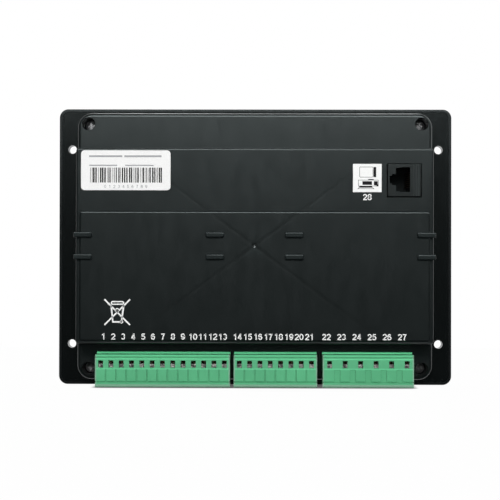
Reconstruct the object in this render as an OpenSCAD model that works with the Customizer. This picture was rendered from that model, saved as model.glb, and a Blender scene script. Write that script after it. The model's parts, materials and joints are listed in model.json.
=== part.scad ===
// Panel-mounted generator controller with pluggable terminals.
// X runs along the terminal row, Z is up, and the rear with the terminals faces -Y.
// The origin is at the centre of the flange's rear face, where it meets the panel.

/* [Terminal row] */
// Pole spacing of the output and input blocks
pitch_s = 5.08; // [5:0.01:5.2]
// Pole spacing of the mains block
pitch_l = 7.62; // [7.5:0.01:7.7]
// Poles of the output block
output_ways = 13; // [8:1:13]
// Poles of the input block
input_ways = 8; // [4:1:8]
// Poles of the mains block
mains_ways = 6; // [4:1:6]
// From the last pole to the end of an output or input plug
end_s = 2.75; // [2.6:0.05:3.2]
// From the last pole to the end of the mains plug
end_l = 3.35; // [3.2:0.05:4]
// Space between the output and input plugs
gap_1 = 1.9; // [1.5:0.1:4]
// Space between the input and mains plugs
gap_2 = 2.8; // [1.5:0.1:5]
// Space between the row's ends and the corner screw towers
row_gap = 0.65; // [0.5:0.05:4]

/* [Terminal headers] */
// Height of a header above its board
header_h = 11.2; // [10.6:0.1:12]
// Thickness of a header across its row
header_t = 9.6; // [9.2:0.1:10.4]
// Wall of a header's shroud
shroud_t = 1.2; // [1:0.05:1.3]
// Thickness of a header's floor
header_floor = 2.6; // [2:0.1:2.8]
// How far a header stands proud of the shelf
header_rise = 1.8; // [1:0.1:3]
// From the raised back's lower edge to the headers
terminal_drop = 4.4; // [3:0.1:6]
// Space between the headers and the housing's lower wall
header_rest = 2.05; // [1.5:0.05:4]
// Side of a square header pin
pin_t = 1; // [0.8:0.05:1.1]
// How far a pin stops short of its shroud's rim
pin_short = 1.5; // [1:0.1:3]
// How far a pin reaches through its board
pin_tail = 1.4; // [0.5:0.1:2]
// Chamfer along a header's rim
rim_chamfer = 0.3; // [0.15:0.05:0.4]

/* [Terminal plugs] */
// Height of a plug's wire face
plug_h = 16.1; // [15.5:0.1:17]
// How far a plug stands behind its header's rim
plug_reach = 9.6; // [9.2:0.1:11]
// How far a plug's top lies below its header's top
plug_drop = 0.9; // [0.5:0.1:1.1]
// Length of the nose that enters the header
nose_l = 8.2; // [7.6:0.1:8.4]
// Width of a wire entry
entry_w = 2.4; // [2:0.1:2.7]
// Height of a wire entry
entry_h = 3.5; // [3:0.1:3.8]
// From a plug's top to its wire entries
entry_drop = 2.9; // [2.7:0.1:3.2]
// Chamfer along a wire entry's lower edge
entry_lip = 0.4; // [0.2:0.05:0.5]
// Thickness of a plug's skin in front of the clamps
plug_skin = 1.3; // [1:0.1:1.6]
// Height of the rail along a plug's top
rail_h = 1.2; // [0.8:0.1:1.3]
// How far the rail lies behind the wire face
rail_back = 1.1; // [0.6:0.1:1.5]
// Height of the foot strip along a plug's bottom
foot_h = 2.4; // [1.8:0.1:2.6]
// Height of the slots beside the rail and the foot
slot_h = 0.5; // [0.3:0.1:0.7]
// Depth of the slots and grooves in the wire face
slot_d = 0.6; // [0.3:0.1:0.9]
// Width of the grooves between the poles
groove_w = 0.8; // [0.4:0.1:1]
// Width of the raised panel under each mains pole
panel_w = 4.6; // [4:0.1:5.4]
// Height of the panels under the wire entries
panel_h = 5.9; // [5:0.1:6.2]
// Chamfer along a plug's outer edges
plug_chamfer = 0.25; // [0.15:0.05:0.3]

/* [Wire clamps] */
// Width of a clamp cage
cage_w = 3.2; // [3:0.05:3.3]
// Length of a clamp cage
cage_l = 5.4; // [5:0.1:5.6]
// Height of a clamp cage
cage_h = 6; // [5.6:0.1:6.4]
// Height of the wire window in a clamp cage
cage_window = 1.6; // [1.2:0.1:1.9]
// Spacing of the ridges across a clamp cage's face
ridge_pitch = 0.65; // [0.55:0.05:0.8]
// Height of the grooves between the ridges
ridge_h = 0.5; // [0.3:0.05:0.5]
// Depth of the grooves between the ridges
ridge_d = 0.3; // [0.2:0.05:0.4]
// Diameter of a clamp screw's shank
clamp_screw_d = 2.2; // [1.8:0.1:2.4]
// Diameter of a clamp screw's head
clamp_head_d = 3; // [2.8:0.1:3.2]
// Height of a clamp screw's head
clamp_head_h = 1.6; // [1.2:0.1:2]
// How far a clamp screw's head lies above the plug's bottom
clamp_head_sunk = 0.8; // [0.3:0.1:1.2]
// How far a clamp screw enters its cage
clamp_screw_in = 2.6; // [2:0.1:2.8]
// Wall of a spring contact round its pin
contact_t = 0.4; // [0.3:0.05:0.45]

/* [Rear housing] */
// Height of the housing behind the panel
body_h = 133.1; // [128:0.1:146]
// Corner radius of the housing
body_r = 7; // [6.8:0.1:7.6]
// Depth of the shelves behind the panel
shelf_d = 24; // [22:0.5:28]
// Depth of the raised back behind the panel
plateau_d = 35.4; // [34:0.2:38]
// Wall of the housing
wall = 2.2; // [1.8:0.1:2.4]
// Rounding of the shelves' outer edges
edge_round = 1.8; // [1.2:0.1:2]
// Rounding of the raised back's edges
plateau_round = 1; // [0.5:0.1:1.2]
// Corner radius of the raised back
plateau_r = 1.5; // [1.3:0.1:2.5]
// How far the raised back's sides lie inside the housing's
plateau_inset = 0.5; // [0.3:0.05:0.8]
// Height of the band's upper edge above the middle
band_z = 17.2; // [14:0.2:20]
// How far the lower band stands proud of the raised back
band_step = 0.6; // [0.3:0.1:0.9]
// How far the band's sides lie inside the raised back's
band_inset = 1.7; // [1:0.1:3]
// How far the band's foot lies above the raised back's
band_foot = 1.2; // [0.6:0.1:2]
// Diameter of the moulding mark in the middle of the back
gate_d = 3; // [2:0.1:3.6]
// Depth of the moulding mark
gate_depth = 0.8; // [0.4:0.1:1]
// Diameter of the pip in the moulding mark
gate_pip = 1.2; // [0.8:0.1:1.4]

/* [Clamp guides] */
// Length of a guide rib on the back
guide_l = 9; // [6:0.5:12]
// Height of a guide rib
guide_h = 2.5; // [2:0.1:3]
// How far a guide rib stands proud
guide_rise = 1.4; // [1:0.1:2]
// Spacing of the two ribs of a guide
guide_pitch = 10.9; // [8:0.1:14]
// From the middle of the back to the inner guides
guide_x = 19.5; // [12:0.5:40]
// How far a guide rib stands out beside the raised back
guide_out = 1; // [0.6:0.1:1.4]
// Length of a guide rib along the side wall
guide_side = 11; // [8:0.5:13]
// Rounding of a guide rib's edges
guide_round = 0.5; // [0.3:0.05:0.6]

/* [Flange and bezel] */
// Width of the bezel beside the housing
flange_w = 12.35; // [10:0.05:16]
// Height of the bezel above and below the housing
flange_h = 4.35; // [3.5:0.05:8]
// Thickness of the housing's flange
flange_t = 2.4; // [2:0.1:2.8]
// Depth of the bezel in front of the panel
bezel_d = 7; // [6.6:0.1:9]
// Corner radius of the bezel
bezel_r = 4.5; // [4:0.1:6]
// Wall of the bezel's rim
rim_t = 1.4; // [1.2:0.1:1.8]
// Front wall of the bezel
front_t = 2.5; // [2.4:0.1:2.8]
// Rounding of the bezel's front edge
front_round = 1.2; // [0.6:0.1:1.3]
// Rounding of the rim's rear edge
rear_round = 0.6; // [0.3:0.1:0.9]
// How far the rim's rear edge lies in front of the panel
rim_set = 0.2; // [0.1:0.05:0.4]
// From the housing's side to a fixing hole
fixing_side = 5.6; // [4.8:0.05:6.4]
// Height of the fixing holes above and below the middle
fixing_z = 50; // [40:1:54]
// Diameter of a fixing hole
fixing_d = 4.3; // [3.6:0.1:4.6]
// Wall of the boss round a fixing hole
fixing_wall = 1.6; // [1.2:0.1:2]

/* [Housing screws] */
// From the housing's sides to a corner screw
screw_inset = 5.3; // [5.2:0.1:6]
// Diameter of a screw well
well_d = 6.4; // [6:0.1:6.6]
// Wall of a screw well
well_t = 1; // [0.8:0.05:1.2]
// Depth of a screw well
well_depth = 15; // [12:0.5:17]
// Floor of a screw well
well_floor = 2.5; // [2:0.1:3]
// Chamfer round a screw well's mouth
well_chamfer = 0.15; // [0.1:0.05:0.2]
// Diameter of a housing screw's shank
screw_d = 2.9; // [2.5:0.1:3]
// Length of a housing screw's shank
screw_l = 10; // [8:0.5:12]
// Diameter of a housing screw's head
head_d = 5.4; // [5:0.1:5.6]
// Height of a housing screw's head
head_h = 2; // [1.6:0.1:2.6]
// Diameter of the bezel bosses that take the housing screws
boss_d = 4.4; // [4.2:0.05:4.5]

/* [Front panel] */
// Width of the clear part of the display window
window_w = 70; // [60:1:76]
// Height of the clear part of the display window
window_h = 38; // [30:1:42]
// Place of the display along X
display_x = 30; // [24:1:34]
// From the housing's upper edge to the display's middle
display_drop = 43.55; // [40:0.05:48]
// How far the window pane reaches under the overlay
pane_lip = 4; // [3:0.5:5]
// Thickness of the window pane
pane_t = 1.2; // [0.8:0.1:1.4]
// Margin of the overlay inside the housing's outline
overlay_margin = 2; // [1:0.5:6]
// Thickness of the overlay
overlay_t = 0.4; // [0.2:0.05:0.5]
// How far the overlay lies below the bezel's front
overlay_sunk = 0.1; // [0.05:0.05:0.2]
// Corner radius of the overlay
overlay_r = 4; // [3:0.5:6]
// Diameter of a mode key
key_d = 15; // [12:0.5:16]
// Spacing of the mode keys
key_pitch = 33; // [28:0.5:34]
// From the housing's lower edge to the mode keys
key_foot = 28.55; // [24:0.05:33]
// Diameter of a menu key
menu_d = 10; // [8:0.5:11]
// Spacing of the menu keys
menu_pitch = 17; // [15:0.5:19]
// Place of the menu keys along X
menu_x = -30; // [-34:1:-28]
// How far a key stands proud of the bezel
key_rise = 1.2; // [0.8:0.1:2]
// Rounding of a key's edge
key_round = 0.8; // [0.4:0.1:1.2]
// Depth of the dish in a key's face
key_dish = 0.3; // [0.1:0.05:0.4]
// Width of the collar that keeps a key in
collar_w = 1.2; // [0.8:0.1:1.6]
// Thickness of that collar
collar_t = 1; // [0.8:0.05:1.1]
// Travel of a key
key_travel = 0.5; // [0.3:0.05:0.6]
// Diameter of a key's stem
stem_d = 3.4; // [3:0.1:4]
// Diameter of an indicator light pipe
led_d = 3; // [2:0.1:4]
// Spacing of the indicators
led_pitch = 12; // [8:0.5:13]
// Place of the indicators along X
led_x = -56; // [-62:1:-50]
// How far an indicator stands proud of the overlay
led_rise = 0.5; // [0.2:0.1:1]

/* [Boards] */
// Thickness of both boards
board_t = 1.6; // [1.2:0.1:1.8]
// Space between the bezel's front wall and the display board
display_gap = 5.5; // [5.4:0.1:6.5]
// Space round the boards' edges
board_gap = 0.6; // [0.4:0.1:1.2]
// Diameter of the posts and pillars under the boards
post_d = 6; // [5.4:0.1:7]
// From the display board's edges to its posts
post_inset = 6; // [5:0.5:8]
// Place of the pillars along X
pillar_x = 58; // [52:1:62]
// Space between the pillars and the raised back's wall
pillar_inset = 0.4; // [0.2:0.1:2]
// Diameter of a board screw's shank
board_screw_d = 2.5; // [2:0.1:2.9]
// Length of a board screw's shank
board_screw_l = 6; // [5:0.2:6.4]
// Diameter of a board screw's head
board_head_d = 4.5; // [4:0.1:5]
// Height of a board screw's head
board_head_h = 1.6; // [1.2:0.1:2]
// Thickness of the display's backlight
backlight_t = 1.4; // [1:0.1:1.5]
// Thickness of the display's glass
glass_t = 2.2; // [1.6:0.1:2.3]
// Border of the glass round the clear window
glass_border = 3; // [2:0.5:4]
// Sheet of the display's frame
frame_t = 0.8; // [0.5:0.1:0.9]
// Border of the display's frame round the glass
frame_border = 4; // [2:0.5:5]
// Side of a tact switch
tact_w = 6; // [5.6:0.1:8]
// Height of a tact switch
tact_h = 3.4; // [3:0.1:3.5]
// How far a key's stem reaches into its switch
stem_in = 0.3; // [0.2:0.05:0.4]
// Length of the link between the boards
link_l = 20; // [10:1:30]
// Thickness of the link between the boards
link_t = 5; // [4:0.5:8]
// Height of the link's lower half
link_h = 2.5; // [2:0.1:4]
// Height of the link below the middle
link_drop = 12; // [4:1:16]
// Size of a relay along X, Y and Z
relay_size = [20.5, 15.3, 10.5];
// Number of relays
relay_count = 5; // [1:1:5]
// Spacing of the relays
relay_pitch = 23; // [22:0.5:24]
// Place of the relays along X
relay_x = -14; // [-18:1:-10]
// Space between the relays and the pillars below them
relay_gap = 2.45; // [1:0.05:6]
// Diameter of a capacitor
cap_d = 10; // [8:0.5:10]
// Height of a capacitor
cap_h = 15; // [8:0.5:16]
// Number of capacitors
cap_count = 3; // [1:1:3]
// Spacing of the capacitors
cap_pitch = 12; // [11:0.5:14]
// Place of the lowest capacitor along X and Z
cap_at = [66, -30];
// Side of the processor
chip_w = 14; // [10:0.5:20]
// Thickness of the processor
chip_t = 1.4; // [1:0.1:2]
// Diameter of the power inductor
coil_d = 12; // [8:0.5:14]
// Height of the power inductor
coil_h = 7; // [5:0.5:10]
// Place of the power inductor along X and Z
coil_at = [-62, 10];

/* [Network socket] */
// Width of the socket's face
jack_w = 16.5; // [15.6:0.1:17]
// Height of the socket's face
jack_h = 16; // [15:0.1:16.6]
// From the housing's side to the socket's middle
jack_side = 15; // [13:0.1:18]
// From the raised back's upper edge to the socket's middle
jack_drop = 15.9; // [15:0.1:20]
// How far the socket's face stands proud of the raised back
jack_proud = 0.8; // [0.3:0.1:1.5]
// Depth of the plug port
port_d = 14; // [12:0.5:16]
// Height of the port
port_h = 12.2; // [11.7:0.1:12.6]
// Width of the port's main part
port_w = 5; // [4.6:0.1:5.2]
// From the socket's middle to the port's contact side
port_side = 2.8; // [2.5:0.1:3]
// How far the port lies above the socket's middle
port_lift = 0.4; // [0:0.1:0.6]
// Width and height of the port's steps towards the latch
port_steps = [[2, 11.6], [1.9, 5.4], [1.1, 3.8]];
// Spacing of the contacts
contact_pitch = 1.02; // [1:0.01:1.1]
// Width of a contact wire
wire_t = 0.45; // [0.3:0.05:0.6]
// How far the contacts lean into the port
contact_lean = 1.6; // [1:0.1:1.8]
// Rounding of the socket's face
jack_round = 0.4; // [0.2:0.05:0.5]

/* [Clearances] */
// Space between flat faces that slide or slip together
fit = 0.15; // [0.1:0.01:0.2]
// Space round what moves in a round hole
slip = 0.3; // [0.2:0.02:0.4]
// Space round what is pressed, screwed or soldered in
snug = 0.05; // [0.02:0.01:0.08]
// Space between a piece and the opening it shows through
reveal = 0.25; // [0.15:0.05:0.3]

/* [Hidden] */
$fn = 48;
far = 1;
corner_share = 1.4;

// The terminal row sets the housing's width, and the flange sets the bezel's.
function block_w(ways, pitch, end) = (ways - 1) * pitch + 2 * end;
output_w = block_w(output_ways, pitch_s, end_s);
input_w = block_w(input_ways, pitch_s, end_s);
mains_w = block_w(mains_ways, pitch_l, end_l);
row_w = output_w + gap_1 + input_w + gap_2 + mains_w;
tower_d = well_d + 2 * well_t;
body_w = row_w + 2 * (row_gap + tower_d / 2 + screw_inset);
bezel_w = body_w + 2 * flange_w;
bezel_h = body_h + 2 * flange_h;

// A block is [ways, pitch, end, left end, width].
output_block = [output_ways, pitch_s, end_s, -row_w / 2, output_w];
input_block = [input_ways, pitch_s, end_s, -row_w / 2 + output_w + gap_1, input_w];
mains_block = [mains_ways, pitch_l, end_l, row_w / 2 - mains_w, mains_w];
blocks = [output_block, input_block, mains_block];
function pole_x(b, i) = b[3] + b[2] + i * b[1];

// Heights of the shelves and the raised back.
shelf_h = terminal_drop + header_t + header_rest + wall;
plateau_h = body_h - 2 * shelf_h;
plateau_w = body_w - 2 * plateau_inset;
band_w = plateau_w - 2 * band_inset;
band_h = band_z + plateau_h / 2 - band_foot;
back_d = plateau_d + band_step;
inner_w = body_w - 2 * wall;
inner_h = body_h - 2 * wall;
screw_x = body_w / 2 - screw_inset;
screw_z = body_h / 2 - screw_inset;
well_y = -shelf_d + well_depth;
tower_y = well_y + well_floor;
fixing_x = body_w / 2 + fixing_side;

// Depths of the boards, measured from the panel.
wall_y = bezel_d - front_t;
display_y = wall_y - display_gap;
rim_y = -shelf_d - header_rise;
io_y = rim_y + header_h;
io_front = io_y + board_t;
overlay_y = bezel_d - overlay_sunk - overlay_t;
pane_y = overlay_y - pane_t;
display_w = body_w - 2 * (screw_inset + boss_d / 2 + board_gap);
display_h = inner_h - 2 * board_gap;
post_x = display_w / 2 - post_inset;
post_z = display_h / 2 - post_inset;
pillar_z = plateau_h / 2 - wall - post_d / 2 - pillar_inset;
pillar_y = -plateau_d + wall;
relay_z = -pillar_z + post_d / 2 + relay_gap + relay_size[2] / 2;

// Heights of the headers and plugs.
header_top = -plateau_h / 2 - terminal_drop;
pin_z = header_top - header_t / 2;
plug_top = header_top - plug_drop;
plug_bottom = plug_top - plug_h;
face_y = rim_y - plug_reach;
shoulder_y = rim_y - fit;
nose_y = rim_y + nose_l;
nose_h = header_t - 2 * shroud_t - 2 * fit;
entry_z = plug_top - entry_drop - entry_h / 2;
panel_z = plug_bottom + foot_h + slot_h;
cage_y = face_y + plug_skin + snug;
cage_top = plug_top - entry_drop + fit;
cage_bottom = cage_top - cage_h;
clamp_y = cage_y + cage_l / 2;
contact_w = pin_t + 2 * (fit + contact_t);
contact_slot = contact_w + 2 * snug;
pin_end = rim_y + pin_short;

// Keys, display and indicators, as seen from behind.
key_z = key_foot - body_h / 2;
display_z = body_h / 2 - display_drop;
mode_keys = [for (i = [0:4]) [(2 - i) * key_pitch, key_z, key_d]];
menu_keys = [for (i = [0:2]) [menu_x, display_z + (1 - i) * menu_pitch, menu_d]];
keys = concat(mode_keys, menu_keys);
leds = [for (i = [0:3]) [led_x, display_z + (1.5 - i) * led_pitch]];
collar_y = wall_y - snug;
tact_y = display_y + tact_h;
pane_w = window_w + 2 * pane_lip;
pane_h = window_h + 2 * pane_lip;
glass_w = window_w + 2 * glass_border;
glass_h = window_h + 2 * glass_border;
glass_y = display_y + backlight_t;
frame_y = glass_y + glass_t + snug;

jack_x = body_w / 2 - jack_side;
jack_z = plateau_h / 2 - jack_drop;
jack_y = -plateau_d - jack_proud;

// Draws a flat outline in X and Z, from one depth to another.
module plate(y_front, y_rear) {
    translate([0, y_front, 0])
        rotate([90, 0, 0])
            linear_extrude(height = y_front - y_rear)
                children();
}

// Draws a round bar along Y.
module rod(x, z, y_front, y_rear, d) {
    translate([x, y_front, z])
        rotate([90, 0, 0])
            cylinder(h = y_front - y_rear, d = d);
}

// Draws a box by its middle in X and Z and by its two depths.
module slab(x, z, w, h, y_front, y_rear) {
    translate([x - w / 2, y_rear, z - h / 2])
        cube([w, y_front - y_rear, h]);
}

// Draws a box by its middle in X, by two depths and by two heights.
module cell(x, w, y_front, y_rear, z_top, z_bottom) {
    translate([x - w / 2, y_rear, z_bottom])
        cube([w, y_front - y_rear, z_top - z_bottom]);
}

// Revolves a profile of radius and depth round an axis along Y.
module turned(x, z) {
    translate([x, 0, z])
        rotate([-90, 0, 0])
            rotate_extrude()
                children();
}

// Places a copy in each of four corners.
module at_corners(x, z) {
    for (sx = [-1, 1])
        for (sz = [-1, 1])
            translate([sx * x, 0, sz * z])
                children();
}

module rounded_rect(w, h, r) {
    square([w, h - 2 * r], center = true);
    square([w - 2 * r, h], center = true);
    for (sx = [-1, 1])
        for (sz = [-1, 1])
            translate([sx * (w / 2 - r), sz * (h / 2 - r)])
                circle(r = r);
}

// Half section of a block with one rounded edge.
module edge_profile(r, depth, round) {
    square([r - round, depth]);
    square([r, depth - round]);
    translate([r - round, depth - round])
        intersection() {
            circle(r = round);
            square(round);
        }
}

// A block with round corners and one rounded outer edge, standing on Z.
module soft_block(w, h, r, depth, round) {
    translate([r - w / 2, r - h / 2, 0])
        cube([w - 2 * r, h - 2 * r, depth]);
    for (k = [0:3]) {
        across = (k % 2 == 0 ? w : h) / 2 - r;
        along = (k % 2 == 0 ? h : w) / 2 - r;
        rotate([0, 0, 90 * k])
            translate([across, along, 0]) {
                rotate([90, 0, 0])
                    linear_extrude(height = 2 * along)
                        edge_profile(r, depth, round);
                rotate_extrude(angle = 90)
                    edge_profile(r, depth, round);
            }
    }
}

// The same block lying along Y, with its rounded edge at the rear.
module rear_block(x, z, w, h, r, y_front, y_rear, round) {
    translate([x, y_front, z])
        rotate([90, 0, 0])
            soft_block(w, h, r, y_front - y_rear, round);
}

// The same block lying along Y, with its rounded edge at the front.
module front_block(w, h, r, y_front, y_rear, round) {
    translate([0, y_rear, 0])
        rotate([-90, 0, 0])
            soft_block(w, h, r, y_front - y_rear, round);
}

module bezel_shell() {
    middle_y = wall_y;
    difference() {
        union() {
            front_block(bezel_w, bezel_h, bezel_r, bezel_d, middle_y, front_round);
            rear_block(0, 0, bezel_w, bezel_h, bezel_r, middle_y, rim_set, rear_round);
        }
        plate(wall_y, rim_set - far)
            rounded_rect(bezel_w - 2 * rim_t, bezel_h - 2 * rim_t, bezel_r - rim_t);
    }
}

module bezel_bosses() {
    at_corners(screw_x, screw_z)
        rod(0, 0, wall_y + far, tower_y, boss_d);
    at_corners(post_x, post_z)
        rod(0, 0, wall_y + far, display_y, post_d);
    at_corners(fixing_x, fixing_z)
        rod(0, 0, wall_y + far, flange_t, fixing_d + 2 * fixing_wall);
}

module front_bezel() {
    pilot_y = well_y + screw_l + slip;
    post_pilot_y = display_y - board_t + board_screw_l + slip;
    color("dimgray")
        difference() {
            union() {
                bezel_shell();
                bezel_bosses();
            }
            at_corners(screw_x, screw_z)
                rod(0, 0, pilot_y, tower_y - far, screw_d + 2 * snug);
            at_corners(post_x, post_z)
                rod(0, 0, post_pilot_y, display_y - far, board_screw_d + 2 * snug);
            at_corners(fixing_x, fixing_z)
                rod(0, 0, bezel_d + far, -far, fixing_d);
            plate(bezel_d + far, overlay_y)
                overlay_outline(fit);
            plate(overlay_y + far, pane_y)
                translate([display_x, display_z])
                    square([pane_w + 2 * fit, pane_h + 2 * fit], center = true);
            slab(display_x, display_z, window_w, window_h, bezel_d, wall_y - far);
            for (k = keys)
                rod(k[0], k[1], bezel_d, wall_y - far, k[2] + 2 * slip);
            for (l = leds)
                rod(l[0], l[1], bezel_d, wall_y - far, led_d + 2 * fit);
        }
}

module overlay_outline(grow) {
    rounded_rect(
        body_w - 2 * overlay_margin + 2 * grow,
        body_h - 2 * overlay_margin + 2 * grow,
        overlay_r + grow
    );
}

module front_overlay() {
    color("slategray")
        difference() {
            plate(overlay_y + overlay_t, overlay_y)
                overlay_outline(0);
            slab(display_x, display_z, window_w, window_h, bezel_d, pane_y);
            for (k = keys)
                rod(k[0], k[1], bezel_d, wall_y, k[2] + 2 * slip);
            for (l = leds)
                rod(l[0], l[1], bezel_d, wall_y, led_d + 2 * fit);
        }
}

module display_window() {
    color("lightsteelblue", 0.6)
        slab(display_x, display_z, pane_w, pane_h, overlay_y, pane_y);
}

// Radius of a ball that is d wide at the height h of its cap.
function dome_r(d, h) = (d * d / 4 + h * h) / (2 * h);

// A key is one moulding: dished cap, collar behind the front wall, and stem.
module push_key(k) {
    collar_back = collar_y - collar_t;
    stem_end = tact_y - stem_in;
    cap_h = bezel_d + key_rise - collar_y;
    face_d = k[2] - 2 * key_round;
    turned(k[0], k[1]) {
        translate([0, stem_end])
            square([stem_d / 2, collar_back - stem_end]);
        translate([0, collar_back])
            square([k[2] / 2 + collar_w, collar_t]);
        translate([0, collar_y])
            difference() {
                edge_profile(k[2] / 2, cap_h, key_round);
                translate([0, cap_h + dome_r(face_d, key_dish) - key_dish])
                    circle(r = dome_r(face_d, key_dish));
            }
    }
}

module key_stop() { color("firebrick") push_key(mode_keys[0]); }
module key_manual() { color("gainsboro") push_key(mode_keys[1]); }
module key_test() { color("gainsboro") push_key(mode_keys[2]); }
module key_auto() { color("gainsboro") push_key(mode_keys[3]); }
module key_start() { color("seagreen") push_key(mode_keys[4]); }
module key_up() { color("gainsboro") push_key(menu_keys[0]); }
module key_enter() { color("gainsboro") push_key(menu_keys[1]); }
module key_down() { color("gainsboro") push_key(menu_keys[2]); }

module indicator_lights() {
    color("gold")
        for (l = leds)
            turned(l[0], l[1])
                translate([0, display_y])
                    edge_profile(led_d / 2, overlay_y + overlay_t + led_rise - display_y, led_d / 4);
}

// A straight rib with softened edges, from its root to its face.
module guide_rib(x, z, length, root_y) {
    rear_block(
        x, z, length, guide_h, corner_share * guide_round,
        root_y, -back_d - guide_rise, guide_round
    );
}

// A rib of a clamp guide, wrapped round the edge of the raised back.
module side_guide(z) {
    outer_x = plateau_w / 2 + guide_out;
    wrap_w = guide_out + wall / 2;
    guide_rib(outer_x - guide_l / 2, z, guide_l, -back_d + wall / 2);
    guide_rib(outer_x - wrap_w / 2, z, wrap_w, -back_d - guide_rise + guide_side);
}

module clamp_guides() {
    for (s = [-1, 1]) {
        z = s * guide_pitch / 2;
        side_guide(z);
        mirror([1, 0, 0])
            side_guide(z);
        for (x = [-guide_x, guide_x])
            guide_rib(x, z, guide_l, -back_d + wall / 2);
    }
}

module housing_shell() {
    flange_grow = rim_t + fit;
    difference() {
        union() {
            plate(flange_t, 0)
                rounded_rect(bezel_w - 2 * flange_grow, bezel_h - 2 * flange_grow, bezel_r - flange_grow);
            rear_block(0, 0, body_w, body_h, body_r, flange_t / 2, -shelf_d, edge_round);
            rear_block(0, 0, plateau_w, plateau_h, plateau_r, -shelf_d / 2, -plateau_d, plateau_round);
            rear_block(
                0, band_z - band_h / 2, band_w, band_h, plateau_r,
                -shelf_d / 2, -back_d, plateau_round
            );
            clamp_guides();
        }
        plate(flange_t + far, -shelf_d + wall)
            rounded_rect(inner_w, inner_h, body_r - wall);
        slab(0, 0, plateau_w - 2 * wall, plateau_h - 2 * wall, -shelf_d / 2, pillar_y);
    }
}

module rear_housing() {
    pillar_pilot_y = io_front - board_screw_l - slip;
    color("dimgray")
        difference() {
            union() {
                housing_shell();
                at_corners(screw_x, screw_z)
                    rod(0, 0, tower_y, -shelf_d + wall / 2, tower_d);
                at_corners(pillar_x, pillar_z)
                    rod(0, 0, io_y, pillar_y - wall / 2, post_d);
            }
            at_corners(screw_x, screw_z) {
                rod(0, 0, well_y, -shelf_d - far, well_d);
                rod(0, 0, tower_y + far, well_y - far, screw_d + 2 * fit);
                turned(0, 0)
                    polygon([
                        [0, -shelf_d - far],
                        [well_d / 2 + well_chamfer + far, -shelf_d - far],
                        [0, -shelf_d + well_chamfer + well_d / 2]
                    ]);
            }
            at_corners(pillar_x, pillar_z)
                rod(0, 0, io_y + far, pillar_pilot_y, board_screw_d + 2 * snug);
            at_corners(fixing_x, fixing_z)
                rod(0, 0, flange_t + far, -far, fixing_d);
            for (b = blocks)
                slab(
                    b[3] + b[4] / 2, pin_z, b[4] + 2 * reveal, header_t + 2 * reveal,
                    -shelf_d + wall + far, -shelf_d - far
                );
            slab(
                jack_x, jack_z, jack_w + 2 * reveal, jack_h + 2 * reveal,
                pillar_y + far, -back_d - far
            );
            gate_mark();
        }
}

// A shallow cup with a round pip, left by the mould in the middle of the back.
module gate_mark() {
    difference() {
        rod(0, 0, -back_d + gate_depth, -back_d - far, gate_d);
        translate([0, -back_d + gate_depth, 0])
            sphere(d = gate_pip);
    }
}

module pan_screw(d, l, cap_d, cap_h) {
    drive_w = cap_d / 6;
    drive_d = cap_h / 2;
    dome_h = cap_h / 3;
    ball_r = dome_r(cap_d, dome_h);
    difference() {
        union() {
            rod(0, 0, l, -snug, d);
            rotate([90, 0, 0])
                intersection() {
                    cylinder(h = cap_h, d = cap_d);
                    translate([0, 0, cap_h - ball_r])
                        sphere(r = ball_r);
                }
        }
        for (a = [0, 90])
            rotate([0, a, 0])
                slab(0, 0, cap_d * 0.6, drive_w, -cap_h + drive_d, -cap_h - far);
    }
}

module housing_screws() {
    color("silver")
        at_corners(screw_x, screw_z)
            translate([0, well_y, 0])
                pan_screw(screw_d, screw_l, head_d, head_h);
}

module board_screws() {
    color("silver") {
        at_corners(post_x, post_z)
            translate([0, display_y - board_t, 0])
                pan_screw(board_screw_d, board_screw_l, board_head_d, board_head_h);
        at_corners(pillar_x, pillar_z)
            translate([0, io_front, 0])
                mirror([0, 1, 0])
                    pan_screw(board_screw_d, board_screw_l, board_head_d, board_head_h);
    }
}

module display_board() {
    color("darkgreen")
        difference() {
            slab(0, 0, display_w, display_h, display_y, display_y - board_t);
            at_corners(post_x, post_z)
                rod(0, 0, display_y + far, display_y - board_t - far, board_screw_d + 2 * fit);
        }
}

module lcd_backlight() {
    color("white")
        slab(display_x, display_z, glass_w, glass_h, glass_y, display_y);
}

module lcd_glass() {
    color("darkseagreen")
        slab(display_x, display_z, glass_w, glass_h, glass_y + glass_t, glass_y);
}

// A pressed sheet frame that holds the glass and backlight to the board.
module lcd_frame() {
    color("silver")
        difference() {
            slab(
                display_x, display_z, glass_w + 2 * frame_border, glass_h + 2 * frame_border,
                frame_y + frame_t, display_y
            );
            slab(
                display_x, display_z, glass_w + 2 * fit, glass_h + 2 * fit,
                frame_y, display_y - far
            );
            slab(display_x, display_z, window_w, window_h, frame_y + frame_t + far, frame_y - far);
        }
}

module tact_switches() {
    color("black")
        for (k = keys)
            difference() {
                slab(k[0], k[1], tact_w, tact_w, tact_y, display_y);
                rod(k[0], k[1], tact_y + far, tact_y - stem_in - key_travel - slip, stem_d + 2 * slip);
            }
}

module link_socket() {
    color("black")
        slab(0, -link_drop, link_l, link_t, display_y - board_t, io_front + link_h);
}

module link_header() {
    color("black")
        slab(0, -link_drop, link_l, link_t, io_front + link_h, io_front);
}

// The board is cut back at its corners to pass the screw towers.
module io_board() {
    corner_w = 2 * (screw_x - tower_d / 2 - board_gap);
    corner_h = 2 * (screw_z - tower_d / 2 - board_gap);
    color("darkgreen")
        difference() {
            plate(io_front, io_y) {
                square([inner_w - 2 * board_gap, corner_h], center = true);
                square([corner_w, inner_h - 2 * board_gap], center = true);
            }
            at_corners(pillar_x, pillar_z)
                rod(0, 0, io_front + far, io_y - far, board_screw_d + 2 * fit);
            for (b = blocks)
                for (i = [0:b[0] - 1])
                    rod(pole_x(b, i), pin_z, io_front + far, io_y - far, pin_t * sqrt(2) + 2 * snug);
        }
}

module processor() {
    color("black")
        slab(0, link_drop, chip_w, chip_w, io_y, io_y - chip_t);
}

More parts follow.
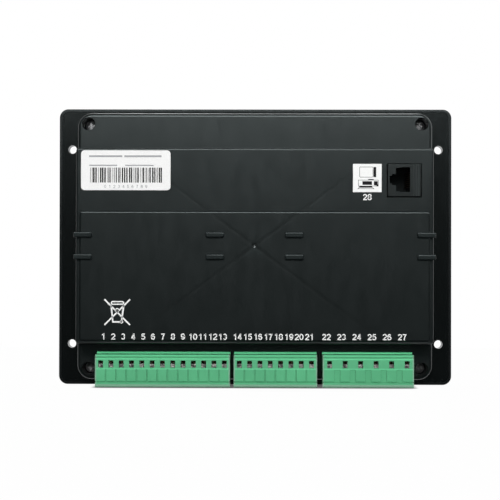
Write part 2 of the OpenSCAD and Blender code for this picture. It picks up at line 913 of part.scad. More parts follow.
module relays() {
    color("royalblue")
        for (i = [0:relay_count - 1])
            slab(
                relay_x + (i - (relay_count - 1) / 2) * relay_pitch, relay_z,
                relay_size[0], relay_size[2], io_y, io_y - relay_size[1]
            );
}

module capacitors() {
    color("midnightblue")
        for (i = [0:cap_count - 1])
            rod(cap_at[0], cap_at[1] + i * cap_pitch, io_y, io_y - cap_h, cap_d);
}

module power_inductor() {
    color("black")
        rod(coil_at[0], coil_at[1], io_y, io_y - coil_h, coil_d);
}

// Width of the port's steps up to one of them.
function steps_w(i) = port_steps[i][0] + (i > 0 ? steps_w(i - 1) : 0);

// The port steps down from its main part to the latch's slot.
module port_outline() {
    translate([port_side - port_w, -port_h / 2])
        square([port_w, port_h]);
    for (i = [0:len(port_steps) - 1])
        translate([port_side - port_w - steps_w(i), -port_steps[i][1] / 2])
            square([port_steps[i][0] + fit, port_steps[i][1]]);
}

module network_socket() {
    color("black")
        difference() {
            rear_block(
                jack_x, jack_z, jack_w, jack_h, corner_share * jack_round,
                io_y, jack_y, jack_round
            );
            translate([jack_x, 0, jack_z + port_lift])
                plate(jack_y + port_d, jack_y - far)
                    port_outline();
        }
}

// Spring wires that lie on the port's wall at its mouth and lean in at its back.
module socket_contacts() {
    mouth_y = jack_y + port_d / 8;
    deep_y = jack_y + port_d - slip;
    wall_x = jack_x + port_side;
    color("goldenrod")
        for (i = [0:7])
            translate([0, 0, jack_z + port_lift + (i - 3.5) * contact_pitch - wire_t / 2])
                linear_extrude(height = wire_t)
                    polygon([
                        [wall_x, mouth_y],
                        [wall_x, mouth_y + 2 * wire_t],
                        [wall_x - contact_lean + wire_t, deep_y],
                        [wall_x - contact_lean, deep_y]
                    ]);
}

// Side section of a header, with its rim's two long edges chamfered.
module header_section() {
    header_foot = header_top - header_t;
    polygon([
        [io_y, header_top],
        [rim_y + rim_chamfer, header_top],
        [rim_y, header_top - rim_chamfer],
        [rim_y, header_foot + rim_chamfer],
        [rim_y + rim_chamfer, header_foot],
        [io_y, header_foot]
    ]);
}

// Carries a side section of depth and height along X.
module along_row(x_start, length) {
    translate([x_start, 0, 0])
        rotate([90, 0, 90])
            linear_extrude(height = length)
                children();
}

// Carries a side section along a block from end to end.
module along_block(b) {
    along_row(b[3], b[4])
        children();
}

// A header is an open shroud on a floor that carries the pins.
module header(b) {
    middle = b[3] + b[4] / 2;
    difference() {
        along_block(b)
            header_section();
        slab(
            middle, pin_z, b[4] - 2 * shroud_t, header_t - 2 * shroud_t,
            io_y - header_floor, rim_y - far
        );
        for (i = [0:b[0] - 1])
            slab(pole_x(b, i), pin_z, pin_t + 2 * snug, pin_t + 2 * snug, io_y + far, rim_y);
    }
}

module header_pins(b) {
    for (i = [0:b[0] - 1])
        slab(pole_x(b, i), pin_z, pin_t, pin_t, io_front + pin_tail, pin_end);
}

// Side section of a plug: rail and slot at the top, slot and foot at the bottom.
module plug_section() {
    rail_y = face_y + rail_back;
    face_top = plug_top - rail_h - slot_h;
    foot_top = panel_z - slot_h;
    polygon([
        [shoulder_y, plug_top],
        [rail_y + plug_chamfer, plug_top],
        [rail_y, plug_top - plug_chamfer],
        [rail_y, plug_top - rail_h],
        [rail_y + slot_d, plug_top - rail_h],
        [rail_y + slot_d, face_top],
        [face_y + plug_chamfer, face_top],
        [face_y, face_top - plug_chamfer],
        [face_y, panel_z + plug_chamfer],
        [face_y + plug_chamfer, panel_z],
        [face_y + slot_d, panel_z],
        [face_y + slot_d, foot_top],
        [face_y + plug_chamfer, foot_top],
        [face_y, foot_top - plug_chamfer],
        [face_y, plug_bottom + slot_d],
        [face_y + slot_d, plug_bottom],
        [shoulder_y, plug_bottom]
    ]);
}

// Grooves that part the panels under the wire entries.
module panel_grooves(b, width) {
    for (i = [1:b[0] - 1])
        slab(
            pole_x(b, i) - b[1] / 2, panel_z + panel_h / 2, width, panel_h,
            face_y + slot_d, face_y - far
        );
}

// A wire entry, open to the clamp behind it, with a slope at its lower edge.
module wire_entry(x) {
    entry_foot = entry_z - entry_h / 2;
    slab(x, entry_z, entry_w, entry_h, cage_y, face_y - far);
    along_row(x - entry_w / 2, entry_w)
        polygon([
            [face_y - far, entry_z],
            [face_y - far, entry_foot - entry_lip - far],
            [face_y + entry_lip, entry_foot],
            [face_y + entry_lip, entry_z]
        ]);
}

module plug(b, groove) {
    nose_w = b[4] - 2 * shroud_t - 2 * fit;
    bore_d = clamp_head_d + 2 * fit;
    difference() {
        union() {
            along_block(b)
                plug_section();
            slab(b[3] + b[4] / 2, pin_z, nose_w, nose_h, nose_y, shoulder_y - fit);
        }
        panel_grooves(b, groove);
        for (i = [0:b[0] - 1]) {
            x = pole_x(b, i);
            wire_entry(x);
            cell(
                x, cage_w + 2 * snug, cage_y + cage_l + snug, cage_y - snug,
                cage_top + snug, cage_bottom - snug
            );
            slab(x, pin_z, contact_slot, contact_slot, nose_y + far, cage_y + cage_l);
            translate([x, clamp_y, plug_bottom - far])
                cylinder(h = cage_bottom - plug_bottom + far, d = bore_d);
        }
    }
}

// A groove with sloping sides across the face of a clamp cage.
module face_groove(x, z) {
    along_row(x - cage_w / 2 - far, cage_w + 2 * far)
        polygon([
            [cage_y - ridge_d, z - ridge_h],
            [cage_y + ridge_d, z],
            [cage_y - ridge_d, z + ridge_h]
        ]);
}

// A clamp is a cage with a window for the wire, ridges to grip it and a threaded hole below.
module clamps(b) {
    window_top = plug_top - entry_drop - fit;
    color("silver")
        for (i = [0:b[0] - 1]) {
            x = pole_x(b, i);
            difference() {
                cell(x, cage_w, cage_y + cage_l, cage_y, cage_top, cage_bottom);
                cell(x, entry_w, cage_y + cage_l + far, cage_y - far, window_top, window_top - cage_window);
                translate([x, clamp_y, cage_bottom - far])
                    cylinder(h = clamp_screw_in + snug + far, d = clamp_screw_d + 2 * snug);
                for (k = [1:3])
                    face_groove(x, window_top - cage_window - k * ridge_pitch);
            }
        }
}

module clamp_screws(b) {
    head_z = plug_bottom + clamp_head_sunk;
    color("silver")
        for (i = [0:b[0] - 1])
            translate([pole_x(b, i), clamp_y, head_z])
                difference() {
                    union() {
                        cylinder(h = clamp_head_h, d = clamp_head_d);
                        cylinder(h = cage_bottom + clamp_screw_in - head_z, d = clamp_screw_d);
                    }
                    translate([-clamp_head_d, -clamp_head_d / 12, -far])
                        cube([2 * clamp_head_d, clamp_head_d / 6, clamp_head_h / 2 + far]);
                }
}

// A spring contact: a sleeve round the pin and a tail on the clamp's back.
module contacts(b) {
    hollow = pin_t + 2 * fit;
    color("goldenrod")
        for (i = [0:b[0] - 1]) {
            x = pole_x(b, i);
            difference() {
                slab(x, pin_z, contact_w, contact_w, nose_y - slip, cage_y + cage_l + snug);
                slab(x, pin_z, hollow, hollow, nose_y, pin_end - slip);
            }
        }
}

module output_header() { color("mediumseagreen") header(output_block); }
module output_pins() { color("silver") header_pins(output_block); }
module output_plug() { color("mediumseagreen") plug(output_block, groove_w); }
module output_clamps() { clamps(output_block); }
module output_clamp_screws() { clamp_screws(output_block); }
module output_contacts() { contacts(output_block); }

module input_header() { color("mediumseagreen") header(input_block); }
module input_pins() { color("silver") header_pins(input_block); }
module input_plug() { color("mediumseagreen") plug(input_block, groove_w); }
module input_clamps() { clamps(input_block); }
module input_clamp_screws() { clamp_screws(input_block); }
module input_contacts() { contacts(input_block); }

module mains_header() { color("mediumseagreen") header(mains_block); }
module mains_pins() { color("silver") header_pins(mains_block); }
module mains_plug() { color("mediumseagreen") plug(mains_block, pitch_l - panel_w); }
module mains_clamps() { clamps(mains_block); }
module mains_clamp_screws() { clamp_screws(mains_block); }
module mains_contacts() { contacts(mains_block); }

front_bezel();
rear_housing();
housing_screws();
front_overlay();
display_window();
key_stop();
key_manual();
key_test();
key_auto();
key_start();
key_up();
key_enter();
key_down();
indicator_lights();
display_board();
lcd_backlight();
lcd_glass();
lcd_frame();
tact_switches();
link_socket();
link_header();
io_board();
board_screws();
processor();
relays();
capacitors();
power_inductor();
network_socket();
socket_contacts();
output_header();
output_pins();
output_plug();
output_clamps();
output_clamp_screws();
output_contacts();
input_header();
input_pins();
input_plug();
input_clamps();
input_clamp_screws();
input_contacts();
mains_header();
mains_pins();
mains_plug();
mains_clamps();
mains_clamp_screws();
mains_contacts();
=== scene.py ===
"""Dresses a panel-mounted generator controller: finishes, prints, label, display and studio.

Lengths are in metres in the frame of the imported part. X runs along the terminal row and Z is up.
The rear with the terminals faces -Y, and the front with the display and the keys faces +Y.
"""

from __future__ import annotations

import json
import logging
import math
from dataclasses import dataclass, field
from enum import Enum
from functools import reduce
from typing import Any, Callable, Protocol, Sequence

import bpy
import numpy as np
from mathutils import Matrix, Vector

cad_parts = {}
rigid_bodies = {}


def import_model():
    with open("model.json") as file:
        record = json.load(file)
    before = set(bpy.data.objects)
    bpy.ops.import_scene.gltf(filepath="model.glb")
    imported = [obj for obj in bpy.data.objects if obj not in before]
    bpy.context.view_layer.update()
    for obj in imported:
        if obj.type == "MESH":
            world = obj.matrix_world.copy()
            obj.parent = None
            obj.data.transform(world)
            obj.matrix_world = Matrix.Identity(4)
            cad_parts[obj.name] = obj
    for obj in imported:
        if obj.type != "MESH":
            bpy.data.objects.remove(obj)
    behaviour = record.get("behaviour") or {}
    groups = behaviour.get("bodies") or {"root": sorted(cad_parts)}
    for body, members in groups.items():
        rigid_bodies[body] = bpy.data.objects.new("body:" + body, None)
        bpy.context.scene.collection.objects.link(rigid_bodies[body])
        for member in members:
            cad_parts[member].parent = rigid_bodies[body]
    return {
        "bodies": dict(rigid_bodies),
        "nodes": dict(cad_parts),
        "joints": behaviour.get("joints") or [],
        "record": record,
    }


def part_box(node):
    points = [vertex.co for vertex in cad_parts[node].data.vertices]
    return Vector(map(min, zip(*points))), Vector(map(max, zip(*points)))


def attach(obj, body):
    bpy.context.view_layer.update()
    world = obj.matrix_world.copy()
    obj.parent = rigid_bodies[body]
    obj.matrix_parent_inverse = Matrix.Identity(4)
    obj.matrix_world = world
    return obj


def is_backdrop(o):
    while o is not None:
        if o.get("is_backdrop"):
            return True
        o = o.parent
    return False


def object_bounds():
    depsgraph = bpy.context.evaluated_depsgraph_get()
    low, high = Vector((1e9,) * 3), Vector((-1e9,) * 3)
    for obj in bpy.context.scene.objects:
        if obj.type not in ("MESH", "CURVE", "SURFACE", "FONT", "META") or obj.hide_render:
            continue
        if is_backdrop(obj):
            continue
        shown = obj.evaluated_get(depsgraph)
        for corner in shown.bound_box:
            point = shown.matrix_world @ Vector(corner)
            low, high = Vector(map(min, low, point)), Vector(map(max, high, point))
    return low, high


LOG = logging.getLogger("genset_controller")
MM = 0.001
HOUSE = "controller"
# Thickness of printed ink, and the share of a printed line's width that its flat top takes up.
FILM = 0.03 * MM
CROWN = 0.94
# Distance of the floor from the part's lowest point.
FLOOR_GAP = 0.05 * MM
WHITE = (1.0, 1.0, 1.0)
RANGE = ("From Min", "From Max", "To Min", "To Max")
Colour = tuple[float, float, float]
Point = tuple[float, float, float]
Area = tuple[float, float, float, float]
Socket = bpy.types.NodeSocket


class Side(Enum):
    """The face that a print lies on: the signs of the viewer's right along X and of outwards along Y."""

    REAR = (1.0, -1.0)
    FRONT = (-1.0, 1.0)

    def place(self, flat: np.ndarray, depth: float | np.ndarray) -> np.ndarray:
        """Puts points of right, up and height on the face.

        Args:
            flat: Points as rows of right, up and height, as their viewer sees them.
            depth: Where the face lies along Y, once or for each point.

        Returns:
            The points in the part's frame.
        """
        right, out = self.value
        return np.column_stack([right * flat[:, 0], depth + out * flat[:, 2], flat[:, 1]])


def no_faces(sides: int) -> Callable[[], np.ndarray]:
    """Gives the maker of an empty list of faces with that many sides."""
    return lambda: np.empty((0, sides), np.int64)


@dataclass(frozen=True)
class Patch:
    """Corner points and the faces that join them, as whole arrays.

    Attributes:
        points: Corners, as rows of three numbers.
        quads: Faces of four corners, as row numbers of points.
        tris: Faces of three corners, likewise.
    """

    points: np.ndarray
    quads: np.ndarray = field(default_factory=no_faces(4))
    tris: np.ndarray = field(default_factory=no_faces(3))

    def moved(self, right: float, up: float) -> Patch:
        """Gives the same patch shifted in its own plane."""
        return Patch(self.points + np.array([right, up, 0.0]), self.quads, self.tris)

    def lifted(self, height: float) -> Patch:
        """Gives the same patch raised off its own plane."""
        return Patch(self.points + np.array([0.0, 0.0, height]), self.quads, self.tris)

    def on(self, side: Side, depth: float | np.ndarray) -> Patch:
        """Gives the same patch laid on a face of the part."""
        return Patch(side.place(self.points, depth), self.quads, self.tris)


def joined(patches: Sequence[Patch]) -> Patch:
    """Makes one patch of several.

    Args:
        patches: The patches to join.

    Returns:
        A patch with all their points and faces.
    """
    starts = np.cumsum([0] + [len(p.points) for p in patches[:-1]])
    return Patch(
        np.concatenate([p.points for p in patches]),
        np.concatenate([p.quads + s for p, s in zip(patches, starts)]),
        np.concatenate([p.tris + s for p, s in zip(patches, starts)]),
    )


def stroke(path: np.ndarray, width: float, closed: bool = False, film: float = FILM) -> Patch:
    """Draws a printed line: a low section carried along a path with mitred corners.

    At each point the section is spread along the sum of the two neighbouring normals, divided by one
    plus their product, which keeps the line's width through a corner.

    Args:
        path: Points of the line's middle, as rows of right and up.
        width: Width of the line.
        closed: Whether the last point joins the first.
        film: Thickness of the ink.

    Returns:
        The line as a closed patch.
    """
    whole = np.vstack([path, path[:1]]) if closed else path
    step = np.diff(whole, axis=0)
    side = np.column_stack([-step[:, 1], step[:, 0]]) / np.linalg.norm(step, axis=1, keepdims=True)
    before = np.roll(side, 1, axis=0) if closed else np.vstack([side[:1], side])
    after = side if closed else np.vstack([side, side[-1:]])
    mitre = (before + after) / (1.0 + np.sum(before * after, axis=1, keepdims=True))
    across = np.array([-1.0, -CROWN, CROWN, 1.0]) * width / 2
    height = np.array([0.0, film, film, 0.0])
    spread = path[:, None, :] + mitre[:, None, :] * across[None, :, None]
    heights = np.broadcast_to(height[None, :, None], spread.shape[:2] + (1,))
    points = np.concatenate([spread, heights], axis=2)
    count = len(path)
    row, col = np.meshgrid(np.arange(count if closed else count - 1), np.arange(4), indexing="ij")
    ahead, beside = (row + 1) % count, (col + 1) % 4
    faces = [row * 4 + col, ahead * 4 + col, ahead * 4 + beside, row * 4 + beside]
    quads = np.stack(faces, axis=-1).reshape(-1, 4)
    if not closed:
        caps = np.array([[0, 1, 2, 3], [3, 2, 1, 0]]) + np.array([[0], [4 * (count - 1)]])
        quads = np.vstack([quads, caps])
    return Patch(points.reshape(-1, 3), quads)


def plate(outline: np.ndarray, film: float = FILM, edge: float = 0.02 * MM) -> Patch:
    """Draws a filled shape: its outline raised to the film's height and closed over its middle.

    The top ring is drawn in from the outline by the edge's width, and fans of triangles close it and
    the underside.

    Args:
        outline: Points round a shape that its middle sees whole, counter-clockwise, as right and up.
        film: Thickness of the shape.
        edge: How far the top lies inside the outline.

    Returns:
        The shape as a closed patch.
    """
    count = len(outline)
    middle = outline.mean(axis=0)
    arm = outline - middle
    reach = np.linalg.norm(arm, axis=1, keepdims=True)
    top = middle + arm * (1.0 - edge / reach)
    low = np.column_stack([outline, np.zeros(count)])
    high = np.column_stack([top, np.full(count, film)])
    poles = np.array([[middle[0], middle[1], 0.0], [middle[0], middle[1], film]])
    here = np.arange(count)
    ahead = (here + 1) % count
    quads = np.column_stack([here, ahead, count + ahead, count + here])
    floor = np.column_stack([ahead, here, np.full(count, 2 * count)])
    roof = np.column_stack([count + here, count + ahead, np.full(count, 2 * count + 1)])
    return Patch(np.vstack([low, high, poles]), quads, np.vstack([floor, roof]))


def arc(radius: float, start: float, end: float, steps: int) -> np.ndarray:
    """Gives points of an arc about the origin, from one angle in degrees to another."""
    turn = np.radians(np.linspace(start, end, steps))
    return radius * np.column_stack([np.cos(turn), np.sin(turn)])


def ring(radius: float, steps: int = 48) -> np.ndarray:
    """Gives points round a circle, counter-clockwise, with the first not repeated."""
    return arc(radius, 0.0, 360.0 * (steps - 1) / steps, steps)


def box(width: float, height: float) -> np.ndarray:
    """Gives the four corners of a box, counter-clockwise round the origin."""
    return np.array([[1, 1], [-1, 1], [-1, -1], [1, -1]]) * np.array([width, height]) / 2


def rounded_box(width: float, height: float, radius: float, steps: int = 7) -> np.ndarray:
    """Gives the outline of a box with round corners, counter-clockwise round the origin."""
    middles = box(width - 2 * radius, height - 2 * radius)
    return np.vstack([arc(radius, 90 * k, 90 * k + 90, steps) + middles[k] for k in range(4)])


def shape(*points: tuple[float, float]) -> np.ndarray:
    """Gives points in millimetres as points in metres."""
    return np.array(points, float) * MM


@dataclass(frozen=True)
class Digits:
    """Plain upright numerals, drawn with one even stroke.

    Attributes:
        height: Height of a numeral.
        weight: Width of the stroke, as a share of the height.
        advance: Step from one numeral to the next, as a share of the height.
    """

    height: float
    weight: float = 0.17
    advance: float = 0.74

    def lines(self) -> dict[str, list[tuple[np.ndarray, bool]]]:
        """Draws the middle lines of every numeral, one unit high about the origin.

        Bowls are circles and ellipses, and a closed line is marked as such.

        Returns:
            Each numeral's lines, with whether they are closed.
        """
        top = 0.5 - self.weight / 2
        half = 0.345 - self.weight / 2
        bowl = 0.5 * top + 0.02
        eyes = [ring(1.0, 28) * np.array(size) for size in ((half - 0.025, top * 0.48), (half, top * 0.52))]
        oval = ring(1.0, 40) * np.array([half, top])
        sweep = arc(1.0, 42, 200, 24) * np.array([half, top])
        loop = ring(half - 0.01, 32) + np.array([0.0, half - 0.01 - top])
        hook = arc(half, 168, -38, 24) + np.array([0.0, top - half])
        fall = np.linspace(0.0, 1.0, 9)[:, None]
        drop = np.array([[0.24, top - 0.02]]) * (1 - fall) ** 2 + np.array([[-0.07, -0.5]]) * fall**2
        drop = drop + 2 * fall * (1 - fall) * np.array([[-0.03, 0.06]])

        def bar(*points: tuple[float, float]) -> tuple[np.ndarray, bool]:
            """Gives an open line through points."""
            return np.array(points), False

        return {
            "0": [(oval, True)],
            "1": [bar((0.07, -0.5), (0.07, 0.5)), bar((0.09, 0.4), (-0.2, 0.22))],
            "2": [(hook, False), bar((0.19, 0.04), (-0.22, -0.37)), bar((-0.31, -top), (0.31, -top))],
            "3": [
                (arc(bowl - 0.02, 160, -85, 24) + np.array([-0.01, top - bowl + 0.02]), False),
                (arc(bowl, 85, -160, 24) + np.array([-0.01, bowl - top]), False),
            ],
            "4": [
                bar((0.13, -0.5), (0.13, 0.5)),
                bar((-0.31, -0.2), (0.33, -0.2)),
                bar((0.1, 0.43), (-0.24, -0.17)),
            ],
            "5": [
                bar((-0.2, top), (0.27, top)),
                bar((-0.155, top), (-0.2, -0.04)),
                (arc(half, 140, -160, 24) + np.array([0.0, half - top]), False),
            ],
            "6": [(loop, True), (sweep, False)],
            "7": [bar((-0.3, top), (0.31, top)), (drop, False)],
            "8": [
                (eyes[0] + np.array([0.0, top * 0.52]), True),
                (eyes[1] - np.array([0.0, top * 0.48]), True),
            ],
            "9": [(-loop, True), (-sweep, False)],
            ".": [bar((0.0, -0.5), (0.0, -0.5 + self.weight))],
        }

    def text(self, numerals: str) -> Patch:
        """Sets numerals in a row about the origin.

        Args:
            numerals: The numerals to set.

        Returns:
            The row as a patch.
        """
        lines = self.lines()
        steps = [0.5 * self.advance if sign == "." else self.advance for sign in numerals]
        ends = np.cumsum(steps)
        places = ends - np.array(steps) / 2 - ends[-1] / 2
        marks = [
            stroke((line + np.array([at, 0.0])) * self.height, self.weight * self.height, closed)
            for sign, at in zip(numerals, places)
            for line, closed in lines[sign]
        ]
        return joined(marks)


def make_piece(name: str, patch: Patch, material: bpy.types.Material, body: str) -> bpy.types.Object:
    """Makes an object of a patch and lets it ride on a body.

    Args:
        name: The piece's name.
        patch: Its points and faces in the part's frame.
        material: Its finish.
        body: The body that carries it.

    Returns:
        The new object.
    """
    mesh = bpy.data.meshes.new(name)
    mesh.from_pydata(patch.points.tolist(), [], patch.quads.tolist() + patch.tris.tolist())
    mesh.update()
    mesh.materials.append(material)
    piece = bpy.data.objects.new(name, mesh)
    bpy.context.scene.collection.objects.link(piece)
    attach(piece, body)
    LOG.info("piece %s: %d faces on %s", name, len(mesh.polygons), body)
    return piece


class Wiring:
    """Adds nodes to one tree and joins them."""

    def __init__(self, tree: bpy.types.NodeTree) -> None:
        """Empties the tree."""
        self.tree = tree
        self.tree.nodes.clear()

    def add(self, kind: str, **settings: Any) -> bpy.types.Node:
        """Adds a node.

        Args:
            kind: Its type.
            **settings: Its own properties.

        Returns:
            The node.
        """
        node = self.tree.nodes.new(kind)
        for key, value in settings.items():
            setattr(node, key, value)
        return node

    def join(self, start: Socket, end: Socket) -> None:
        """Joins an output to an input."""
        self.tree.links.new(start, end)

    def feed(self, socket: Socket, value: Socket | float | Colour) -> None:
        """Joins an output to an input, or sets a plain value on it.

        Args:
            socket: The input.
            value: The output or the plain value.
        """
        if isinstance(value, bpy.types.NodeSocket):
            self.join(value, socket)
        elif isinstance(value, tuple) and len(value) == 3 and socket.type == "RGBA":
            socket.default_value = (*value, 1.0)
        else:
            socket.default_value = value

    def math(self, operation: str, *values: Socket | float) -> Socket:
        """Does one sum.

        Args:
            operation: Its name.
            *values: What goes into it.

        Returns:
            Its result.
        """
        node = self.add("ShaderNodeMath", operation=operation)
        for socket, value in zip(node.inputs, values):
            self.feed(socket, value)
        return node.outputs[0]

    def product(self, *values: Socket | float) -> Socket:
        """Multiplies two or more values."""
        return reduce(lambda first, second: self.math("MULTIPLY", first, second), values)

    def off(self, value: Socket, middle: float) -> Socket:
        """Gives how far a value lies from a middle, either way."""
        return self.math("ABSOLUTE", self.math("SUBTRACT", value, middle))

    def length(self, first: Socket, second: Socket) -> Socket:
        """Gives the length of a step from its parts along two axes."""
        squares = (self.product(first, first), self.product(second, second))
        return self.math("SQRT", self.math("ADD", *squares))

    def outside(self, first: Socket, second: Socket, area: Area) -> Socket:
        """Gives the distance from a box: the length of what lies past it along two axes.

        Args:
            first: Place along the first axis.
            second: Place along the second axis.
            area: The box's middle along both axes, and half its width and height.

        Returns:
            The distance, which is 0 inside the box.
        """
        spans = ((first, area[0], area[2]), (second, area[1], area[3]))
        past = [self.math("SUBTRACT", self.off(axis, middle), half) for axis, middle, half in spans]
        return self.length(*(self.math("MAXIMUM", part, 0.0) for part in past))

    def repeat(self, axis: Socket, pitch: float) -> Socket:
        """Gives how far a point lies from the middle of its repeat, as a share of the pitch."""
        return self.off(self.math("FRACT", self.math("DIVIDE", axis, pitch)), 0.5)

    def span(self, value: Socket, low: float, high: float, to_low: float, to_high: float) -> Socket:
        """Maps a range smoothly to another and holds it at the ends.

        Args:
            value: What is mapped.
            low: Start of its range.
            high: End of its range.
            to_low: Result at the start.
            to_high: Result at the end.

        Returns:
            The result.
        """
        node = self.add("ShaderNodeMapRange", interpolation_type="SMOOTHSTEP")
        for key, number in zip(RANGE, (low, high, to_low, to_high)):
            node.inputs[key].default_value = number
        self.join(value, node.inputs["Value"])
        return node.outputs["Result"]

    def split(self, vector: Socket) -> tuple[Socket, Socket, Socket]:
        """Gives the three parts of a vector.

        Args:
            vector: The vector.

        Returns:
            Its parts along X, Y and Z.
        """
        node = self.add("ShaderNodeSeparateXYZ")
        self.join(vector, node.inputs[0])
        return node.outputs["X"], node.outputs["Y"], node.outputs["Z"]

    def white(self, kind: str, strength: Socket | float) -> Socket:
        """Gives plain white light.

        Args:
            kind: Type of the node that gives it.
            strength: How strong it is.

        Returns:
            The light's shader.
        """
        node = self.add(kind)
        self.feed(node.inputs["Color"], WHITE)
        self.feed(node.inputs["Strength"], strength)
        return node.outputs[0]

    def mixed(self, share: Socket, first: Socket, second: Socket) -> Socket:
        """Mixes two shaders.

        Args:
            share: Share of the second shader.
            first: The first shader.
            second: The second shader.

        Returns:
            The mixed shader.
        """
        node = self.add("ShaderNodeMixShader")
        for start, end in zip((share, first, second), node.inputs):
            self.join(start, end)
        return node.outputs[0]


class NodeBench(Wiring):
    """Lays out the nodes of one material round a Principled shader."""

    def __init__(self, name: str) -> None:
        """Starts an empty material.

        Args:
            name: The material's name.
        """
        self.material = bpy.data.materials.new(name)
        self.material.use_nodes = True
        super().__init__(self.material.node_tree)
        self.shader = self.add("ShaderNodeBsdfPrincipled")
        self.output = self.add("ShaderNodeOutputMaterial")
        self.join(self.shader.outputs["BSDF"], self.output.inputs["Surface"])
        self.place = self.add("ShaderNodeTexCoord").outputs["Object"]

    def set(self, **values: Socket | float | Colour) -> None:
        """Sets or joins inputs of the shader, named with _ for a space."""
        for key, value in values.items():
            self.feed(self.shader.inputs[key.replace("_", " ")], value)

    def axes(self) -> tuple[Socket, Socket, Socket]:
        """Gives the three coordinates of a point on the piece."""
        return self.split(self.place)

    def normal(self) -> Socket:
        """Gives the surface's own normal."""
        return self.add("ShaderNodeNewGeometry").outputs["Normal"]

    def noise(self, size: float, detail: float = 2.0, stretch: Point = WHITE) -> Socket:
        """Gives a cloudy pattern.

        Args:
            size: Width of a cloud.
            detail: How many finer clouds lie in it.
            stretch: Scale of the pattern along each axis.

        Returns:
            The pattern, from 0 to 1.
        """
        vector = self.place
        if stretch != WHITE:
            turn = self.add("ShaderNodeMapping")
            turn.inputs["Scale"].default_value = stretch
            self.join(self.place, turn.inputs["Vector"])
            vector = turn.outputs["Vector"]
        node = self.add("ShaderNodeTexNoise")
        node.inputs["Scale"].default_value = 1.0 / size
        node.inputs["Detail"].default_value = detail
        self.join(vector, node.inputs["Vector"])
        return node.outputs["Fac"]

    def clouds(self, size: float, detail: float) -> Socket:
        """Gives a cloudy pattern with clear patches of 0 and 1."""
        return self.span(self.noise(size, detail), 0.3, 0.7, 0.0, 1.0)

    def cells(self, size: float) -> Socket:
        """Gives the distance to the nearest of many scattered points.

        Args:
            size: Spacing of the points.

        Returns:
            The distance, as a share of the spacing.
        """
        node = self.add("ShaderNodeTexVoronoi")
        node.inputs["Scale"].default_value = 1.0 / size
        self.join(self.place, node.inputs["Vector"])
        return node.outputs["Distance"]

    def blend(self, share: Socket | float, first: Socket | Colour, second: Socket | Colour) -> Socket:
        """Mixes two colours.

        Args:
            share: Share of the second colour.
            first: The first colour.
            second: The second colour.

        Returns:
            The mixed colour.
        """
        node = self.add("ShaderNodeMix", data_type="RGBA")
        self.feed(node.inputs["Factor"], share)
        self.feed(node.inputs[6], first)
        self.feed(node.inputs[7], second)
        return node.outputs[2]

    def bump(self, height: Socket, depth: float, below: Socket | None = None) -> Socket:
        """Turns a height from 0 to 1 into a normal.

        Args:
            height: The height.
            depth: What a height of 1 measures.
            below: A normal to add it to.

        Returns:
            The normal.
        """
        node = self.add("ShaderNodeBump")
        node.inputs["Distance"].default_value = depth
        self.join(height, node.inputs["Height"])
        if below is not None:
            self.join(below, node.inputs["Normal"])
        return node.outputs["Normal"]

    def edges(self, radius: float) -> Socket:
        """Masks the piece's edges: where a rounded normal and the surface's own part company.

        Args:
            radius: Radius of the rounding.

        Returns:
            1 on an edge and 0 away from it.
        """
        soft = self.add("ShaderNodeBevel", samples=4)
        soft.inputs["Radius"].default_value = radius
        dot = self.add("ShaderNodeVectorMath", operation="DOT_PRODUCT")
        self.join(soft.outputs["Normal"], dot.inputs[0])
        self.join(self.normal(), dot.inputs[1])
        return self.span(dot.outputs["Value"], 0.99, 0.8, 0.0, 1.0)


class Finish(Protocol):
    """What every finish can do."""

    def material(self) -> bpy.types.Material:
        """Makes the material."""


def scaled(colour: Colour, share: float) -> Colour:
    """Gives a colour made lighter or darker."""
    return tuple(min(1.0, part * share) for part in colour)


def face_area(name: str) -> Area:
    """Gives a node's middle along X and Z, and half its width and height."""
    low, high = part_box(name)
    return (low.x + high.x) / 2, (low.z + high.z) / 2, (high.x - low.x) / 2, (high.z - low.z) / 2


@dataclass(frozen=True)
class Moulding:
    """Moulded plastic with a fine spark-eroded grain.

    Attributes:
        name: Name of the material.
        colour: Its colour.
        rough: Roughness of its surface.
        drift: How far colour and roughness wander over it.
        grain: Width of the grain.
        depth: Depth of the grain.
        worn: How far its edges are worn.
        gloss: Specular level.
        sheen: Tint of its reflections.
        cloud: Width of the patches that its colour wanders over.
        smear: Width of the patches that its roughness wanders over.
        edge: Width of a worn edge.
        scuff: Width of the marks on it.
        wear_and_highlight: Colour of worn edges, as a share of the colour.
    """

    name: str
    colour: Colour
    rough: float = 0.42
    drift: float = 0.12
    grain: float = 0.3 * MM
    depth: float = 0.012 * MM
    worn: float = 0.35
    gloss: float = 0.5
    sheen: Colour = (0.88, 1.0, 1.0)
    cloud: float = 22 * MM
    smear: float = 5 * MM
    edge: float = 0.35 * MM
    scuff: float = 1.6 * MM
    wear_and_highlight: float = 2.2

    def start(self) -> tuple[NodeBench, Socket, Socket]:
        """Lays out the nodes that every moulding shares.

        Returns:
            The bench, and its colour and roughness before they reach the shader.
        """
        bench = NodeBench(self.name)
        low, high = 1 - self.drift, 1 + self.drift
        cloud = bench.clouds(self.cloud, 3.0)
        colour = bench.blend(cloud, scaled(self.colour, low), scaled(self.colour, high))
        worn = bench.product(bench.edges(self.edge), bench.noise(self.scuff), self.worn)
        colour = bench.blend(worn, colour, scaled(self.colour, self.wear_and_highlight))
        smear = bench.noise(self.smear, 4.0, (1.0, 1.0, 0.4))
        rough = bench.span(smear, 0.25, 0.75, self.rough * low, self.rough * high)
        bench.set(Specular_IOR_Level=self.gloss, Specular_Tint=self.sheen)
        return bench, colour, rough

    def material(self) -> bpy.types.Material:
        """Makes the material.

        Returns:
            The material.
        """
        bench, colour, rough = self.start()
        grain = bench.bump(bench.noise(self.grain), self.depth)
        bench.set(Base_Color=colour, Roughness=rough, Normal=grain)
        return bench.material


